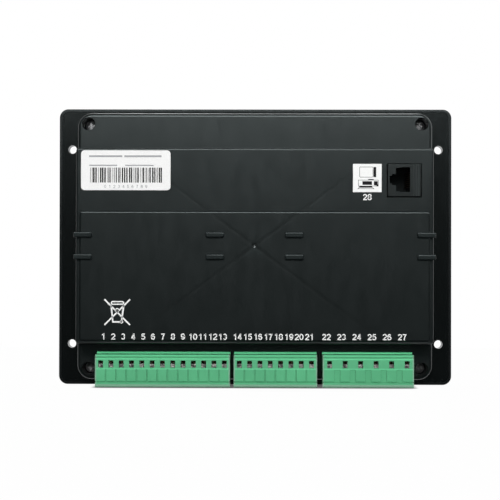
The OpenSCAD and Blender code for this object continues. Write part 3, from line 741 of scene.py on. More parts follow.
@dataclass(frozen=True)
class RearMoulding(Moulding):
    """The housing's plastic: grained on its back, polished on its flange and clamp guides.

    Attributes:
        flange_y: Depth of the flange's rear face.
        rib_y: Depth behind which only the guides reach.
        fade: Depth over which these finishes turn into the next.
        back_y: Depths between which the finish of the raised back comes in.
        polish: Roughness of the polished faces.
        rib_polish: How far the guides are polished.
        polished: Colour of the polished faces, as a share of the plastic's.
        crest: Colour of the guides, likewise, made lighter as painted light on their faces.
        slope: Rise of the creases that run out from the moulding mark.
        line: Width of a crease.
        line_x: Places along X between which the creases grow weaker.
        line_weak: Their strength beyond.
        line_share: How far a crease takes on the painted shade.
        crease_shade: Colour of the painted shade along the creases, as a share of the plastic's.
        line_depth: Depth of a crease.
        fan: Distances below the moulding mark between which its paler fan fades.
        fan_edge: Width over which the fan's sides fade.
        fan_light: Colour of the fan, as a share of the plastic's.
        nub: Radius of the pale stub in the moulding mark: whitened plastic, with a painted highlight.
        nub_up: Height of its middle.
        nub_colour: Its colour.
        hem: Height of the painted highlight line along the back's lower edge.
        hem_width: Width of that line.
        hem_patch: Length of its stronger stretches.
        hem_highlight_colour: Its colour.
        socket: Middle of the socket's opening along X and Z, and half its width and height.
        rim: Width of the painted shadow round that opening, which is also rougher.
        rim_rough: Roughness of the rim.
        rim_shadow: Colour of that painted shadow, as a share of the plastic's.
    """

    flange_y: float = -0.6 * MM
    rib_y: float = -36.4 * MM
    fade: float = 0.4 * MM
    back_y: tuple[float, float] = (-34.0 * MM, -35.0 * MM)
    polish: float = 0.22
    rib_polish: float = 0.3
    polished: float = 0.6
    crest: float = 1.8
    slope: float = 0.745
    line: float = 2.0 * MM
    line_x: tuple[float, float] = (4 * MM, 70 * MM)
    line_weak: float = 0.3
    line_share: float = 0.5
    crease_shade: float = 0.45
    line_depth: float = 0.03 * MM
    fan: tuple[float, float] = (1.5 * MM, 6 * MM)
    fan_edge: float = 1.2 * MM
    fan_light: float = 2.0
    nub: float = 0.55 * MM
    nub_up: float = -0.4 * MM
    nub_colour: Colour = (0.30, 0.33, 0.33)
    hem: float = -47.6 * MM
    hem_width: float = 0.5 * MM
    hem_patch: float = 25 * MM
    hem_highlight_colour: Colour = (0.05, 0.055, 0.055)
    socket: Area = (0.0, 0.0, 0.0, 0.0)
    rim: float = 0.7 * MM
    rim_rough: float = 0.95
    rim_shadow: float = 0.3

    def marked(self, bench: NodeBench, colour: Socket, back: Socket) -> tuple[Socket, Socket]:
        """Adds the creases, with painted shade along them, and the moulding mark with its fan and stub, to
        the back.

        The creases and the sides of the fan lie where the height, up or down, is the slope times
        the distance along X.

        Args:
            bench: The material's bench.
            colour: The colour so far.
            back: Mask of the raised back.

        Returns:
            The new colour, and the mask of the creases.
        """
        x, _, z = bench.axes()
        aside = bench.math("ABSOLUTE", x)
        climb = bench.product(aside, self.slope)
        off = bench.math("ABSOLUTE", bench.math("SUBTRACT", bench.math("ABSOLUTE", z), climb))
        trace = bench.span(off, 0.0, self.line, 1.0, 0.0)
        # Painted shade: the creases are darkened.
        crease_lines = bench.product(trace, bench.span(aside, *self.line_x, 1.0, self.line_weak), back)
        dark = scaled(self.colour, self.crease_shade)
        colour = bench.blend(bench.product(crease_lines, self.line_share), colour, dark)
        under = bench.product(z, -1.0)
        fan = bench.span(bench.math("SUBTRACT", under, climb), 0.0, self.fan_edge, 0.0, 1.0)
        fan = bench.product(fan, bench.span(under, *self.fan, 1.0, 0.0), back)
        colour = bench.blend(fan, colour, scaled(self.colour, self.fan_light))
        # Painted highlight on the stub, which is also whitened plastic.
        reach = bench.length(x, bench.math("SUBTRACT", z, self.nub_up))
        stub = bench.product(bench.span(reach, 0.6 * self.nub, self.nub, 1.0, 0.0), back)
        return bench.blend(stub, colour, self.nub_colour), crease_lines

    def highlighted_hem(self, bench: NodeBench, colour: Socket, back: Socket) -> Socket:
        """Paints a highlight line along the back's lower edge, stronger in some stretches than in others.

        Args:
            bench: The material's bench.
            colour: The colour so far.
            back: Mask of the raised back.

        Returns:
            The new colour.
        """
        _, _, z = bench.axes()
        line = bench.span(bench.off(z, self.hem), 0.3 * self.hem_width, 0.6 * self.hem_width, 1.0, 0.0)
        patch = bench.span(bench.noise(self.hem_patch), 0.35, 0.65, 0.5, 1.0)
        return bench.blend(bench.product(line, back, patch), colour, self.hem_highlight_colour)

    def material(self) -> bpy.types.Material:
        """Makes the material.

        Returns:
            The material.
        """
        bench, colour, rough = self.start()
        x, y, z = bench.axes()
        flange = bench.span(y, self.flange_y - self.fade, self.flange_y, 0.0, 1.0)
        crest = bench.span(y, self.rib_y, self.rib_y - self.fade, 0.0, 1.0)
        smooth = bench.math("MAXIMUM", flange, bench.product(crest, self.rib_polish))
        rough = bench.product(rough, bench.span(smooth, 0.0, 1.0, 1.0, self.polish / self.rough))
        colour = bench.blend(smooth, colour, scaled(self.colour, self.polished))
        # Painted light: the clamp guides are lighter, for the light that their faces catch.
        colour = bench.blend(crest, colour, scaled(self.colour, self.crest))
        back = bench.span(y, *self.back_y, 0.0, 1.0)
        colour, crease_lines = self.marked(bench, colour, back)
        # Painted highlight along the back's lower edge.
        colour = self.highlighted_hem(bench, colour, back)
        # Painted shadow: a darker, rougher rim round the socket's opening.
        socket_shadow = bench.span(bench.outside(x, z, self.socket), 0.6 * self.rim, self.rim, 1.0, 0.0)
        rough = bench.math("MAXIMUM", rough, bench.product(socket_shadow, self.rim_rough))
        colour = bench.blend(socket_shadow, colour, scaled(self.colour, self.rim_shadow))
        height = bench.product(bench.noise(self.grain), bench.math("SUBTRACT", 1.0, smooth))
        normal = bench.bump(height, self.depth)
        normal = bench.bump(bench.math("SUBTRACT", 1.0, crease_lines), self.line_depth, normal)
        bench.set(Base_Color=colour, Roughness=rough, Normal=normal)
        return bench.material


@dataclass(frozen=True)
class SocketMoulding(Moulding):
    """Black plastic whose face is finely ribbed on one side of the plug port, with painted highlights on the
    ribs and painted shade inside the port.

    Attributes:
        face_y: Depth behind which only the socket's face reaches.
        port_y: Depths between which the port's inside turns rougher and darker, as painted shade.
        port_shade: Colour of the painted shade inside the port, as a share of the plastic's.
        port_rough: Its roughness.
        ribbed: Where the ribs start and end along X.
        pitch: Spacing of the ribs.
        rib_highlight: Colour of the painted highlights on the ribs, as a share of the plastic's.
        rib_depth: Height of the ribs.
    """

    face_y: float = -36.1 * MM
    port_y: tuple[float, float] = (-35.2 * MM, -34.4 * MM)
    port_shade: float = 0.5
    port_rough: float = 0.85
    ribbed: tuple[float, float] = (77.2 * MM, 80.8 * MM)
    pitch: float = 1.2 * MM
    rib_highlight: float = 3.0
    rib_depth: float = 0.03 * MM

    def material(self) -> bpy.types.Material:
        """Makes the material.

        Returns:
            The material.
        """
        bench, colour, rough = self.start()
        x, y, _ = bench.axes()
        start, end = self.ribbed
        inside = bench.product(bench.math("GREATER_THAN", x, start), bench.math("LESS_THAN", x, end))
        inside = bench.product(inside, bench.math("LESS_THAN", y, self.face_y))
        wave = bench.math("SINE", bench.product(x, 2 * math.pi / self.pitch))
        ribs = bench.product(wave, inside)
        # Painted highlight: the ribs' crests are lighter.
        colour = bench.blend(bench.math("MAXIMUM", ribs, 0.0), colour, scaled(self.colour, self.rib_highlight))
        normal = bench.bump(bench.noise(self.grain), self.depth, bench.bump(ribs, self.rib_depth))
        # Painted shade: the port's inside is darker and rougher.
        port = bench.span(y, *self.port_y, 0.0, 1.0)
        colour = bench.blend(port, colour, scaled(self.colour, self.port_shade))
        rough = bench.math("MAXIMUM", rough, bench.product(port, self.port_rough))
        bench.set(Base_Color=colour, Roughness=rough, Normal=normal)
        return bench.material


@dataclass(frozen=True)
class PlugMoulding(Moulding):
    """Terminal plastic with painted shade in the grooves of its wire face, and painted highlights along its
    face, its ends and its foot.

    Attributes:
        face_y: Depth of the wire face.
        slot: Depth of the grooves and slots.
        floor: Distances from that depth between which a groove's floor ends.
        groove_shade: Painted shade in the grooves' floors and corners, as a share of the plastic's colour.
        lips: Height and strength of each painted highlight line along the face.
        lip: Distances from its height between which such a line fades.
        lip_highlight: Colour of these painted highlights, as a share of the plastic's.
        ends: Places of the plugs' ends along X.
        end_highlight: Distances from an end between which its painted highlight fades.
        foot: Height of the plugs' lower edge.
        foot_highlight: Distances above it between which its painted highlight fades.
        pale: Colour of the painted highlight on the ends and foot.
        turned: Part of the normal along Y under which a face counts as turned to the rear.
    """

    face_y: float = 0.0
    slot: float = 0.6 * MM
    floor: tuple[float, float] = (0.05 * MM, 0.12 * MM)
    groove_shade: float = 0.35
    lips: tuple[tuple[float, float], ...] = ()
    lip: tuple[float, float] = (0.25 * MM, 0.5 * MM)
    lip_highlight: float = 1.9
    ends: tuple[float, ...] = ()
    end_highlight: tuple[float, float] = (0.4 * MM, 0.8 * MM)
    foot: float = 0.0
    foot_highlight: tuple[float, float] = (1.2 * MM, 1.7 * MM)
    pale: Colour = (0.19, 0.38, 0.26)
    turned: float = -0.7

    def material(self) -> bpy.types.Material:
        """Makes the material.

        Returns:
            The material.
        """
        bench, colour, rough = self.start()
        x, y, z = bench.axes()
        _, facing, _ = bench.split(bench.normal())
        rear = bench.math("LESS_THAN", facing, self.turned)
        # Painted highlights: bright lines along the wire face, where its edges catch the light.
        for height, share in self.lips:
            line = bench.product(bench.span(bench.off(z, height), *self.lip, share, 0.0), rear)
            colour = bench.blend(line, colour, scaled(self.colour, self.lip_highlight))
        # Painted highlight: the plugs' foot and ends are paler, where their rounded edges catch the light.
        wear_and_highlight = bench.span(bench.math("SUBTRACT", z, self.foot), *self.foot_highlight, 1.0, 0.0)
        for end in self.ends:
            near = bench.span(bench.off(x, end), *self.end_highlight, 1.0, 0.0)
            wear_and_highlight = bench.math("MAXIMUM", wear_and_highlight, near)
        colour = bench.blend(bench.product(wear_and_highlight, rear), colour, self.pale)
        # Painted shade: the grooves' floors and inner corners on the wire face are darkened.
        floor = bench.span(bench.off(y, self.face_y + self.slot), *self.floor, 1.0, 0.0)
        corner = bench.product(floor, rear, bench.edges(self.slot))
        colour = bench.blend(corner, colour, scaled(self.colour, self.groove_shade))
        grain = bench.bump(bench.noise(self.grain), self.depth)
        bench.set(Base_Color=colour, Roughness=rough, Normal=grain)
        return bench.material


@dataclass(frozen=True)
class Metal:
    """Plated or bare metal with fine drawing marks.

    Attributes:
        name: Name of the material.
        colour: Its colour.
        rough: Its roughness.
        bare: Share of clean metal, the rest being dull plating.
        stain: Colour of its stains, as a share of its own.
        spot: Width of a stain.
        mark: Width of a drawing mark.
        marks: Scale of the marks along each axis.
        cut: Depth of the marks.
    """

    name: str
    colour: Colour
    rough: float = 0.3
    bare: float = 0.75
    stain: float = 0.78
    spot: float = 2.5 * MM
    mark: float = 0.25 * MM
    marks: Point = (1.0, 0.12, 1.0)
    cut: float = 0.006 * MM

    def material(self) -> bpy.types.Material:
        """Makes the material.

        Returns:
            The material.
        """
        bench = NodeBench(self.name)
        drawn = bench.noise(self.mark, 3.0, self.marks)
        stain = bench.span(bench.noise(self.spot, 3.0), 0.35, 0.65, 0.0, 1.0)
        colour = bench.blend(stain, self.colour, scaled(self.colour, self.stain))
        rough = bench.span(drawn, 0.3, 0.7, self.rough * 0.8, self.rough * 1.25)
        normal = bench.bump(drawn, self.cut)
        bench.set(Base_Color=colour, Roughness=rough, Normal=normal, Metallic=self.bare)
        return bench.material


@dataclass(frozen=True)
class Print:
    """Screen-printed ink or paper, with a slightly uneven film.

    Attributes:
        name: Name of the material.
        colour: Its colour.
        rough: Its roughness.
        grain: Width of its unevenness.
        gloss: Specular level.
        thin: Colour of its thin patches, as a share of its own.
        rise: Height of its unevenness.
    """

    name: str
    colour: Colour
    rough: float = 0.5
    grain: float = 0.5 * MM
    gloss: float = 0.5
    thin: float = 0.92
    rise: float = 0.004 * MM

    def material(self) -> bpy.types.Material:
        """Makes the material.

        Returns:
            The material.
        """
        bench = NodeBench(self.name)
        film = bench.noise(self.grain, 4.0)
        patch = bench.span(film, 0.35, 0.75, 0.0, 1.0)
        colour = bench.blend(patch, self.colour, scaled(self.colour, self.thin))
        rough = bench.span(film, 0.3, 0.7, self.rough * 0.9, self.rough * 1.1)
        normal = bench.bump(film, self.rise)
        bench.set(Base_Color=colour, Roughness=rough, Normal=normal, Specular_IOR_Level=self.gloss)
        return bench.material


@dataclass(frozen=True)
class Overlay:
    """Pebbled front film, printed from behind with a dark display field and a lighter key band.

    Attributes:
        name: Name of the material.
        colour: Colour of the film.
        dark: Colour of the field round the display.
        light: Colour of the band under the mode keys.
        field: Middle of the display field along X and Z, and half its width and height.
        band: The same for the key band.
        corner: Corner radius of both.
        soft: Half the width over which their outlines fade.
        cloud: Width of the patches that the film's colour wanders over.
        smear: Width of the patches that its roughness wanders over.
        rough: Its lowest and highest roughness.
        pebble: Width of a pebble.
        depth: Height of a pebble.
    """

    name: str
    colour: Colour
    dark: Colour
    light: Colour
    field: Area
    band: Area
    corner: float = 4 * MM
    soft: float = 0.05 * MM
    cloud: float = 18 * MM
    smear: float = 6 * MM
    rough: tuple[float, float] = (0.34, 0.44)
    pebble: float = 0.55 * MM
    depth: float = 0.02 * MM

    def zone(self, bench: NodeBench, area: Area) -> Socket:
        """Masks a box with round corners by its distance from a smaller box.

        Args:
            bench: The material's bench.
            area: Middle along X and Z, and half the width and height.

        Returns:
            1 inside the box and 0 outside.
        """
        x, _, z = bench.axes()
        inner = (area[0], area[1], area[2] - self.corner, area[3] - self.corner)
        distance = bench.outside(x, z, inner)
        return bench.span(distance, self.corner - self.soft, self.corner + self.soft, 1.0, 0.0)

    def material(self) -> bpy.types.Material:
        """Makes the material.

        Returns:
            The material.
        """
        bench = NodeBench(self.name)
        cloud = bench.clouds(self.cloud, 3.0)
        colour = bench.blend(cloud, scaled(self.colour, 0.93), scaled(self.colour, 1.07))
        colour = bench.blend(self.zone(bench, self.band), colour, self.light)
        colour = bench.blend(self.zone(bench, self.field), colour, self.dark)
        rough = bench.span(bench.noise(self.smear, 4.0), 0.3, 0.7, *self.rough)
        pebble = bench.bump(bench.cells(self.pebble), self.depth)
        bench.set(Base_Color=colour, Roughness=rough, Normal=pebble)
        return bench.material


@dataclass(frozen=True)
class ClearPane:
    """Clear acrylic with faint wiping marks.

    Attributes:
        name: Name of the material.
        colour: Its colour.
        wipe: Width of a wiping mark.
        marks: Scale of the marks along each axis.
        rough: Lowest and highest roughness.
        index: Refractive index.
    """

    name: str
    colour: Colour = (0.94, 0.97, 0.96)
    wipe: float = 4 * MM
    marks: Point = (0.3, 1.0, 1.0)
    rough: tuple[float, float] = (0.02, 0.09)
    index: float = 1.49

    def material(self) -> bpy.types.Material:
        """Makes the material.

        Returns:
            The material.
        """
        bench = NodeBench(self.name)
        rough = bench.span(bench.noise(self.wipe, 4.0, self.marks), 0.35, 0.75, *self.rough)
        bench.set(Base_Color=self.colour, Roughness=rough, Transmission_Weight=1.0, IOR=self.index)
        return bench.material


@dataclass(frozen=True)
class LightPipes:
    """Clear coloured rods, each with its own tint by its height.

    Attributes:
        name: Name of the material.
        tints: Colours from the lowest rod up.
        lowest: Height of the lowest rod.
        pitch: Spacing of the rods.
        soft: Half the width over which one tint turns into the next.
        haze: Width of the patches that the roughness wanders over.
        rough: Lowest and highest roughness.
        glow: Strength of the light in them.
        coat: Strength of their clear coat.
    """

    name: str
    tints: tuple[Colour, ...]
    lowest: float
    pitch: float
    soft: float = 0.1 * MM
    haze: float = 0.8 * MM
    rough: tuple[float, float] = (0.12, 0.25)
    glow: float = 0.12
    coat: float = 0.4

    def material(self) -> bpy.types.Material:
        """Makes the material.

        Returns:
            The material.
        """
        bench = NodeBench(self.name)
        _, _, z = bench.axes()
        colour: Socket | Colour = self.tints[0]
        for step, tint in enumerate(self.tints[1:]):
            border = self.lowest + (step + 0.5) * self.pitch
            above = bench.span(z, border - self.soft, border + self.soft, 0.0, 1.0)
            colour = bench.blend(above, colour, tint)
        rough = bench.span(bench.noise(self.haze, 3.0), 0.3, 0.7, *self.rough)
        bench.set(Base_Color=colour, Emission_Color=colour, Emission_Strength=self.glow)
        bench.set(Roughness=rough, Coat_Weight=self.coat)
        return bench.material


@dataclass(frozen=True)
class DotGlass:
    """Display glass: a lit field divided into fine dots.

    Attributes:
        name: Name of the material.
        colour: Colour of the field.
        dot: Spacing of the dots.
        gap: Shares of the spacing from a dot's middle between which the gap comes in.
        gap_share: How far the gaps take on their own colour.
        gap_dark: That colour, as a share of the field's.
        cloud: Width of the field's lighter patches.
        cloud_light: Their colour, as a share of the field's.
        glow: Strength of the light behind it.
        rough: Its roughness.
    """

    name: str
    colour: Colour
    dot: float = 0.42 * MM
    gap: tuple[float, float] = (0.40, 0.48)
    gap_share: float = 0.35
    gap_dark: float = 0.6
    cloud: float = 15 * MM
    cloud_light: float = 1.12
    glow: float = 0.3
    rough: float = 0.18

    def material(self) -> bpy.types.Material:
        """Makes the material.

        Returns:
            The material.
        """
        bench = NodeBench(self.name)
        x, _, z = bench.axes()
        lines = [bench.span(bench.repeat(axis, self.dot), *self.gap, 0.0, 1.0) for axis in (x, z)]
        mesh = bench.product(bench.math("MAXIMUM", *lines), self.gap_share)
        lit = bench.blend(bench.clouds(self.cloud, 2.0), self.colour, scaled(self.colour, self.cloud_light))
        colour = bench.blend(mesh, lit, scaled(self.colour, self.gap_dark))
        bench.set(Base_Color=colour, Emission_Color=colour, Emission_Strength=self.glow)
        bench.set(Roughness=self.rough)
        return bench.material


@dataclass(frozen=True)
class Laminate:
    """Lacquered circuit board with tracks under the lacquer.

    Attributes:
        name: Name of the material.
        colour: Colour of the lacquer.
        track: Its colour over a track.
        pitch: Spacing of the tracks.
        line: Shares of the spacing from a track's middle between which it ends.
        block: Width of the areas in which the tracks run one way.
        weave: Width of the glass weave.
        weave_dark: Colour between the weave's threads, as a share of the lacquer's.
        rise: Height of a track.
        rough: Roughness of the lacquer.
    """

    name: str
    colour: Colour
    track: Colour
    pitch: float = 1.27 * MM
    line: tuple[float, float] = (0.2, 0.26)
    block: float = 9 * MM
    weave: float = 0.6 * MM
    weave_dark: float = 0.8
    rise: float = 0.03 * MM
    rough: float = 0.32

    def material(self) -> bpy.types.Material:
        """Makes the material.

        Returns:
            The material.
        """
        bench = NodeBench(self.name)
        x, _, z = bench.axes()
        block = bench.math("GREATER_THAN", bench.noise(self.block, 1.0), 0.5)
        lines = [bench.span(bench.repeat(axis, self.pitch), *self.line, 1.0, 0.0) for axis in (x, z)]
        across = bench.product(lines[0], block)
        along = bench.product(lines[1], bench.math("SUBTRACT", 1.0, block))
        copper = bench.math("MAXIMUM", across, along)
        lacquer = bench.blend(bench.noise(self.weave), self.colour, scaled(self.colour, self.weave_dark))
        colour = bench.blend(copper, lacquer, self.track)
        bench.set(Base_Color=colour, Roughness=self.rough, Normal=bench.bump(copper, self.rise))
        return bench.material


class Finishes:
    """Every finish of the part, by the name of its slot or print.

    Attributes:
        GREEN: Colour of the terminal plugs.
        BLACK: Colour of the housing.
        HEADERS: Nodes of the terminal headers, whose green is painted lighter than their slot's, as painted
            light.
        PLUGS: Nodes of the terminal plugs.
    """

    GREEN: Colour = (0.083, 0.41, 0.197)
    BLACK: Colour = (0.0028, 0.0045, 0.0046)
    HEADERS: tuple[str, ...] = ("output_header", "input_header", "mains_header")
    PLUGS: tuple[str, ...] = ("output_plug", "input_plug", "mains_plug")

    def __init__(self) -> None:
        """Makes all the materials once."""
        makers = {**self.housings(), **self.fronts(), **self.insides(), **self.terminals(), **self.inks()}
        self.materials = {key: maker.material() for key, maker in makers.items()}

    def housings(self) -> dict[str, Finish]:
        """Gives the finishes of the housing and the bezel.

        Returns:
            The finishes by slot.
        """
        socket = face_area("network_socket")
        return {
            "housing": RearMoulding(
                "housing_black", self.BLACK, rough=0.345, drift=0.06, gloss=0.85, socket=socket
            ),
            "bezel": Moulding("bezel_black", (0.0052, 0.0062, 0.0068), rough=0.36, grain=0.4 * MM),
        }

    def fronts(self) -> dict[str, Finish]:
        """Gives the finishes of the overlay, window, keys and indicator lights.

        Returns:
            The finishes by slot.
        """
        red, amber, green = (0.55, 0.02, 0.015), (0.6, 0.26, 0.02), (0.05, 0.42, 0.08)
        return {
            "overlay": Overlay(
                "overlay_film",
                colour=(0.055, 0.062, 0.068),
                dark=(0.008, 0.009, 0.010),
                light=(0.17, 0.18, 0.19),
                field=(30 * MM, 23 * MM, 41 * MM, 25 * MM),
                band=(0.0, -38 * MM, 80 * MM, 14.5 * MM),
            ),
            "window": ClearPane("window_acrylic"),
            "red_key": Moulding("key_red", (0.42, 0.018, 0.016), rough=0.34, worn=0.2),
            "green_key": Moulding("key_green", (0.02, 0.23, 0.07), rough=0.34, worn=0.2),
            "grey_key": Moulding("key_grey", (0.52, 0.53, 0.53), rough=0.36, drift=0.05, worn=0.1),
            "indicator": LightPipes(
                "light_pipes", tints=(red, amber, green, green), lowest=5 * MM, pitch=12 * MM
            ),
        }

    def insides(self) -> dict[str, Finish]:
        """Gives the finishes of the boards, what they carry, and the display.

        Returns:
            The finishes by slot.
        """
        return {
            "board": Laminate("board_lacquer", (0.012, 0.10, 0.035), (0.03, 0.19, 0.06)),
            "backlight": Print("backlight_diffuser", (0.82, 0.83, 0.80), rough=0.6),
            "lcd": DotGlass("display_glass", (0.36, 0.47, 0.13)),
            "dark_plastic": SocketMoulding("socket_black", (0.0055, 0.0068, 0.0068), rough=0.4, worn=0.25),
            "relay": Moulding("relay_blue", (0.02, 0.10, 0.36), rough=0.3),
            "capacitor": Moulding("capacitor_sleeve", (0.012, 0.016, 0.05), rough=0.25),
        }

    def terminals(self) -> dict[str, Finish]:
        """Gives the finishes of the terminal blocks and of all the metal.

        Returns:
            The finishes by slot.
        """
        plugs = [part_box(name) for name in self.PLUGS]
        low, high = plugs[0]
        lips = ((0.5 * MM, 0.4), (2.0 * MM, 0.55), (7.0 * MM, 0.35))
        return {
            "terminal": PlugMoulding(
                "terminal_green",
                self.GREEN,
                rough=0.4,
                drift=0.06,
                grain=0.5 * MM,
                depth=0.006 * MM,
                sheen=WHITE,
                face_y=low.y,
                lips=tuple((high.z - down, share) for down, share in lips),
                ends=tuple(corner.x for plug in plugs for corner in plug),
                foot=low.z,
            ),
            # Painted light: the headers' green is lighter than the plugs', for light on their strip, which
            # the housing above shades.
            "header": Moulding(
                "lit_header_green",
                scaled(self.GREEN, 1.6),
                rough=0.4,
                drift=0.06,
                depth=0.006 * MM,
                worn=0.0,
                sheen=WHITE,
            ),
            "tinned": Metal(
                "tin_plate", (0.54, 0.54, 0.52), rough=0.35, bare=0.75, stain=0.25, spot=1.8 * MM
            ),
            "steel": Metal("zinc_steel", (0.60, 0.61, 0.62), rough=0.35, bare=0.85, stain=0.5),
            # Painted shade: the bronze contacts are darkened almost to black, for the dark inside the wire
            # entries and the socket.
            "gold": Metal("shaded_bronze_spring", (0.11, 0.08, 0.045), rough=0.45, bare=0.97),
        }

    def inks(self) -> dict[str, Finish]:
        """Gives the inks and the label's paper.

        Returns:
            The finishes by name.
        """
        return {
            "white_ink": Print("white_ink", (0.86, 0.87, 0.86)),
            "black_ink": Print("black_ink", (0.006, 0.006, 0.007), gloss=0.15),
            "grey_ink": Print("grey_ink", (0.33, 0.34, 0.35), rough=0.45),
            "paper": Print("label_paper", (0.84, 0.84, 0.835), grain=0.35 * MM),
        }

    def __getitem__(self, key: str) -> bpy.types.Material:
        """Gives a finish by its name."""
        return self.materials[key]

    def dress(self, nodes: dict[str, bpy.types.Object]) -> None:
        """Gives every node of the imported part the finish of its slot.

        Args:
            nodes: The part's nodes by name.
        """
        for name, node in nodes.items():
            for place in node.material_slots:
                slot = "header" if name in self.HEADERS else place.material.name.split(".")[0]
                place.material = self.materials[slot]
                LOG.info("node %s wears %s", name, slot)


@dataclass
class TypeLabel:
    """The paper label on the upper left of the back, with rules and a strip of bars.

    Attributes:
        middle: Middle of the label along X and Z.
        size: Its width and height.
        corner: Its corner radius.
        thick: Its thickness.
        edge: How far its top lies inside its outline.
        depth: Depth of the raised back that it lies on.
        strip: Width and height of the strip of bars.
        strip_at: Place of the strip's middle from the label's, to the right and up.
        module: Width of the narrowest bar.
        widest: Width of the widest bar, in modules.
        seed: Start of the random widths.
        draws: How many widths are drawn.
        rules: Each rule's height above the label's middle, start, length and width.
        serial: Plain numerals under the bars.
        serial_up: Their height above the label's middle.
        serial_digits: How they are drawn.
    """

    middle: tuple[float, float] = (-63.6 * MM, 37.25 * MM)
    size: tuple[float, float] = (44.2 * MM, 19.7 * MM)
    corner: float = 1.8 * MM
    thick: float = 0.1 * MM
    edge: float = 0.05 * MM
    depth: float = -35.4 * MM
    strip: tuple[float, float] = (36.7 * MM, 7.4 * MM)
    strip_at: tuple[float, float] = (0.8 * MM, -2.4 * MM)
    module: float = 0.22 * MM
    widest: int = 3
    seed: int = 27
    draws: int = 400
    rules: tuple[Area, ...] = (
        (6.9 * MM, -18.1 * MM, 16.4 * MM, 0.9 * MM),
        (6.9 * MM, -0.7 * MM, 18.4 * MM, 0.9 * MM),
        (2.4 * MM, -18.0 * MM, 13.8 * MM, 0.6 * MM),
        (2.4 * MM, -0.3 * MM, 14.0 * MM, 0.6 * MM),
    )
    serial: str = "0123456789"
    serial_up: float = -8.0 * MM
    serial_digits: Digits = Digits(1.5 * MM, weight=0.14, advance=1.5)

    def bars(self) -> Patch:
        """Draws bars of one to three modules with gaps of one to three between them.

        Returns:
            The bars about the label's middle.
        """
        draw = np.random.default_rng(self.seed)
        widths = draw.integers(1, self.widest + 1, self.draws) * self.module
        ends = np.cumsum(widths)
        starts = ends - widths
        keep = (np.arange(len(widths)) % 2 == 0) & (ends <= self.strip[0])
        right, up = self.strip_at
        boxes = zip((starts[keep] + ends[keep]) / 2 - self.strip[0] / 2, widths[keep])
        return joined([plate(box(wide, self.strip[1])).moved(at + right, up) for at, wide in boxes])

    def build(self, finishes: Finishes) -> None:
        """Makes the label, its bars and its rules.

        Args:
            finishes: The part's finishes.
        """
        sheet = plate(rounded_box(*self.size, self.corner, 10), self.thick, self.edge).moved(*self.middle)
        make_piece("type_label", sheet.on(Side.REAR, self.depth), finishes["paper"], HOUSE)
        rules = [stroke(np.array([[at, up], [at + long, up]]), wide) for up, at, long, wide in self.rules]
        serial = self.serial_digits.text(self.serial).moved(0.0, self.serial_up)
        marks = (
            ("label_bars", self.bars(), "black_ink"),
            ("label_rules", joined(rules), "grey_ink"),
            ("label_serial", serial, "grey_ink"),
        )
        for name, patch, ink in marks:
            raised = patch.moved(*self.middle).lifted(self.thick)
            make_piece(name, raised.on(Side.REAR, self.depth), finishes[ink], HOUSE)


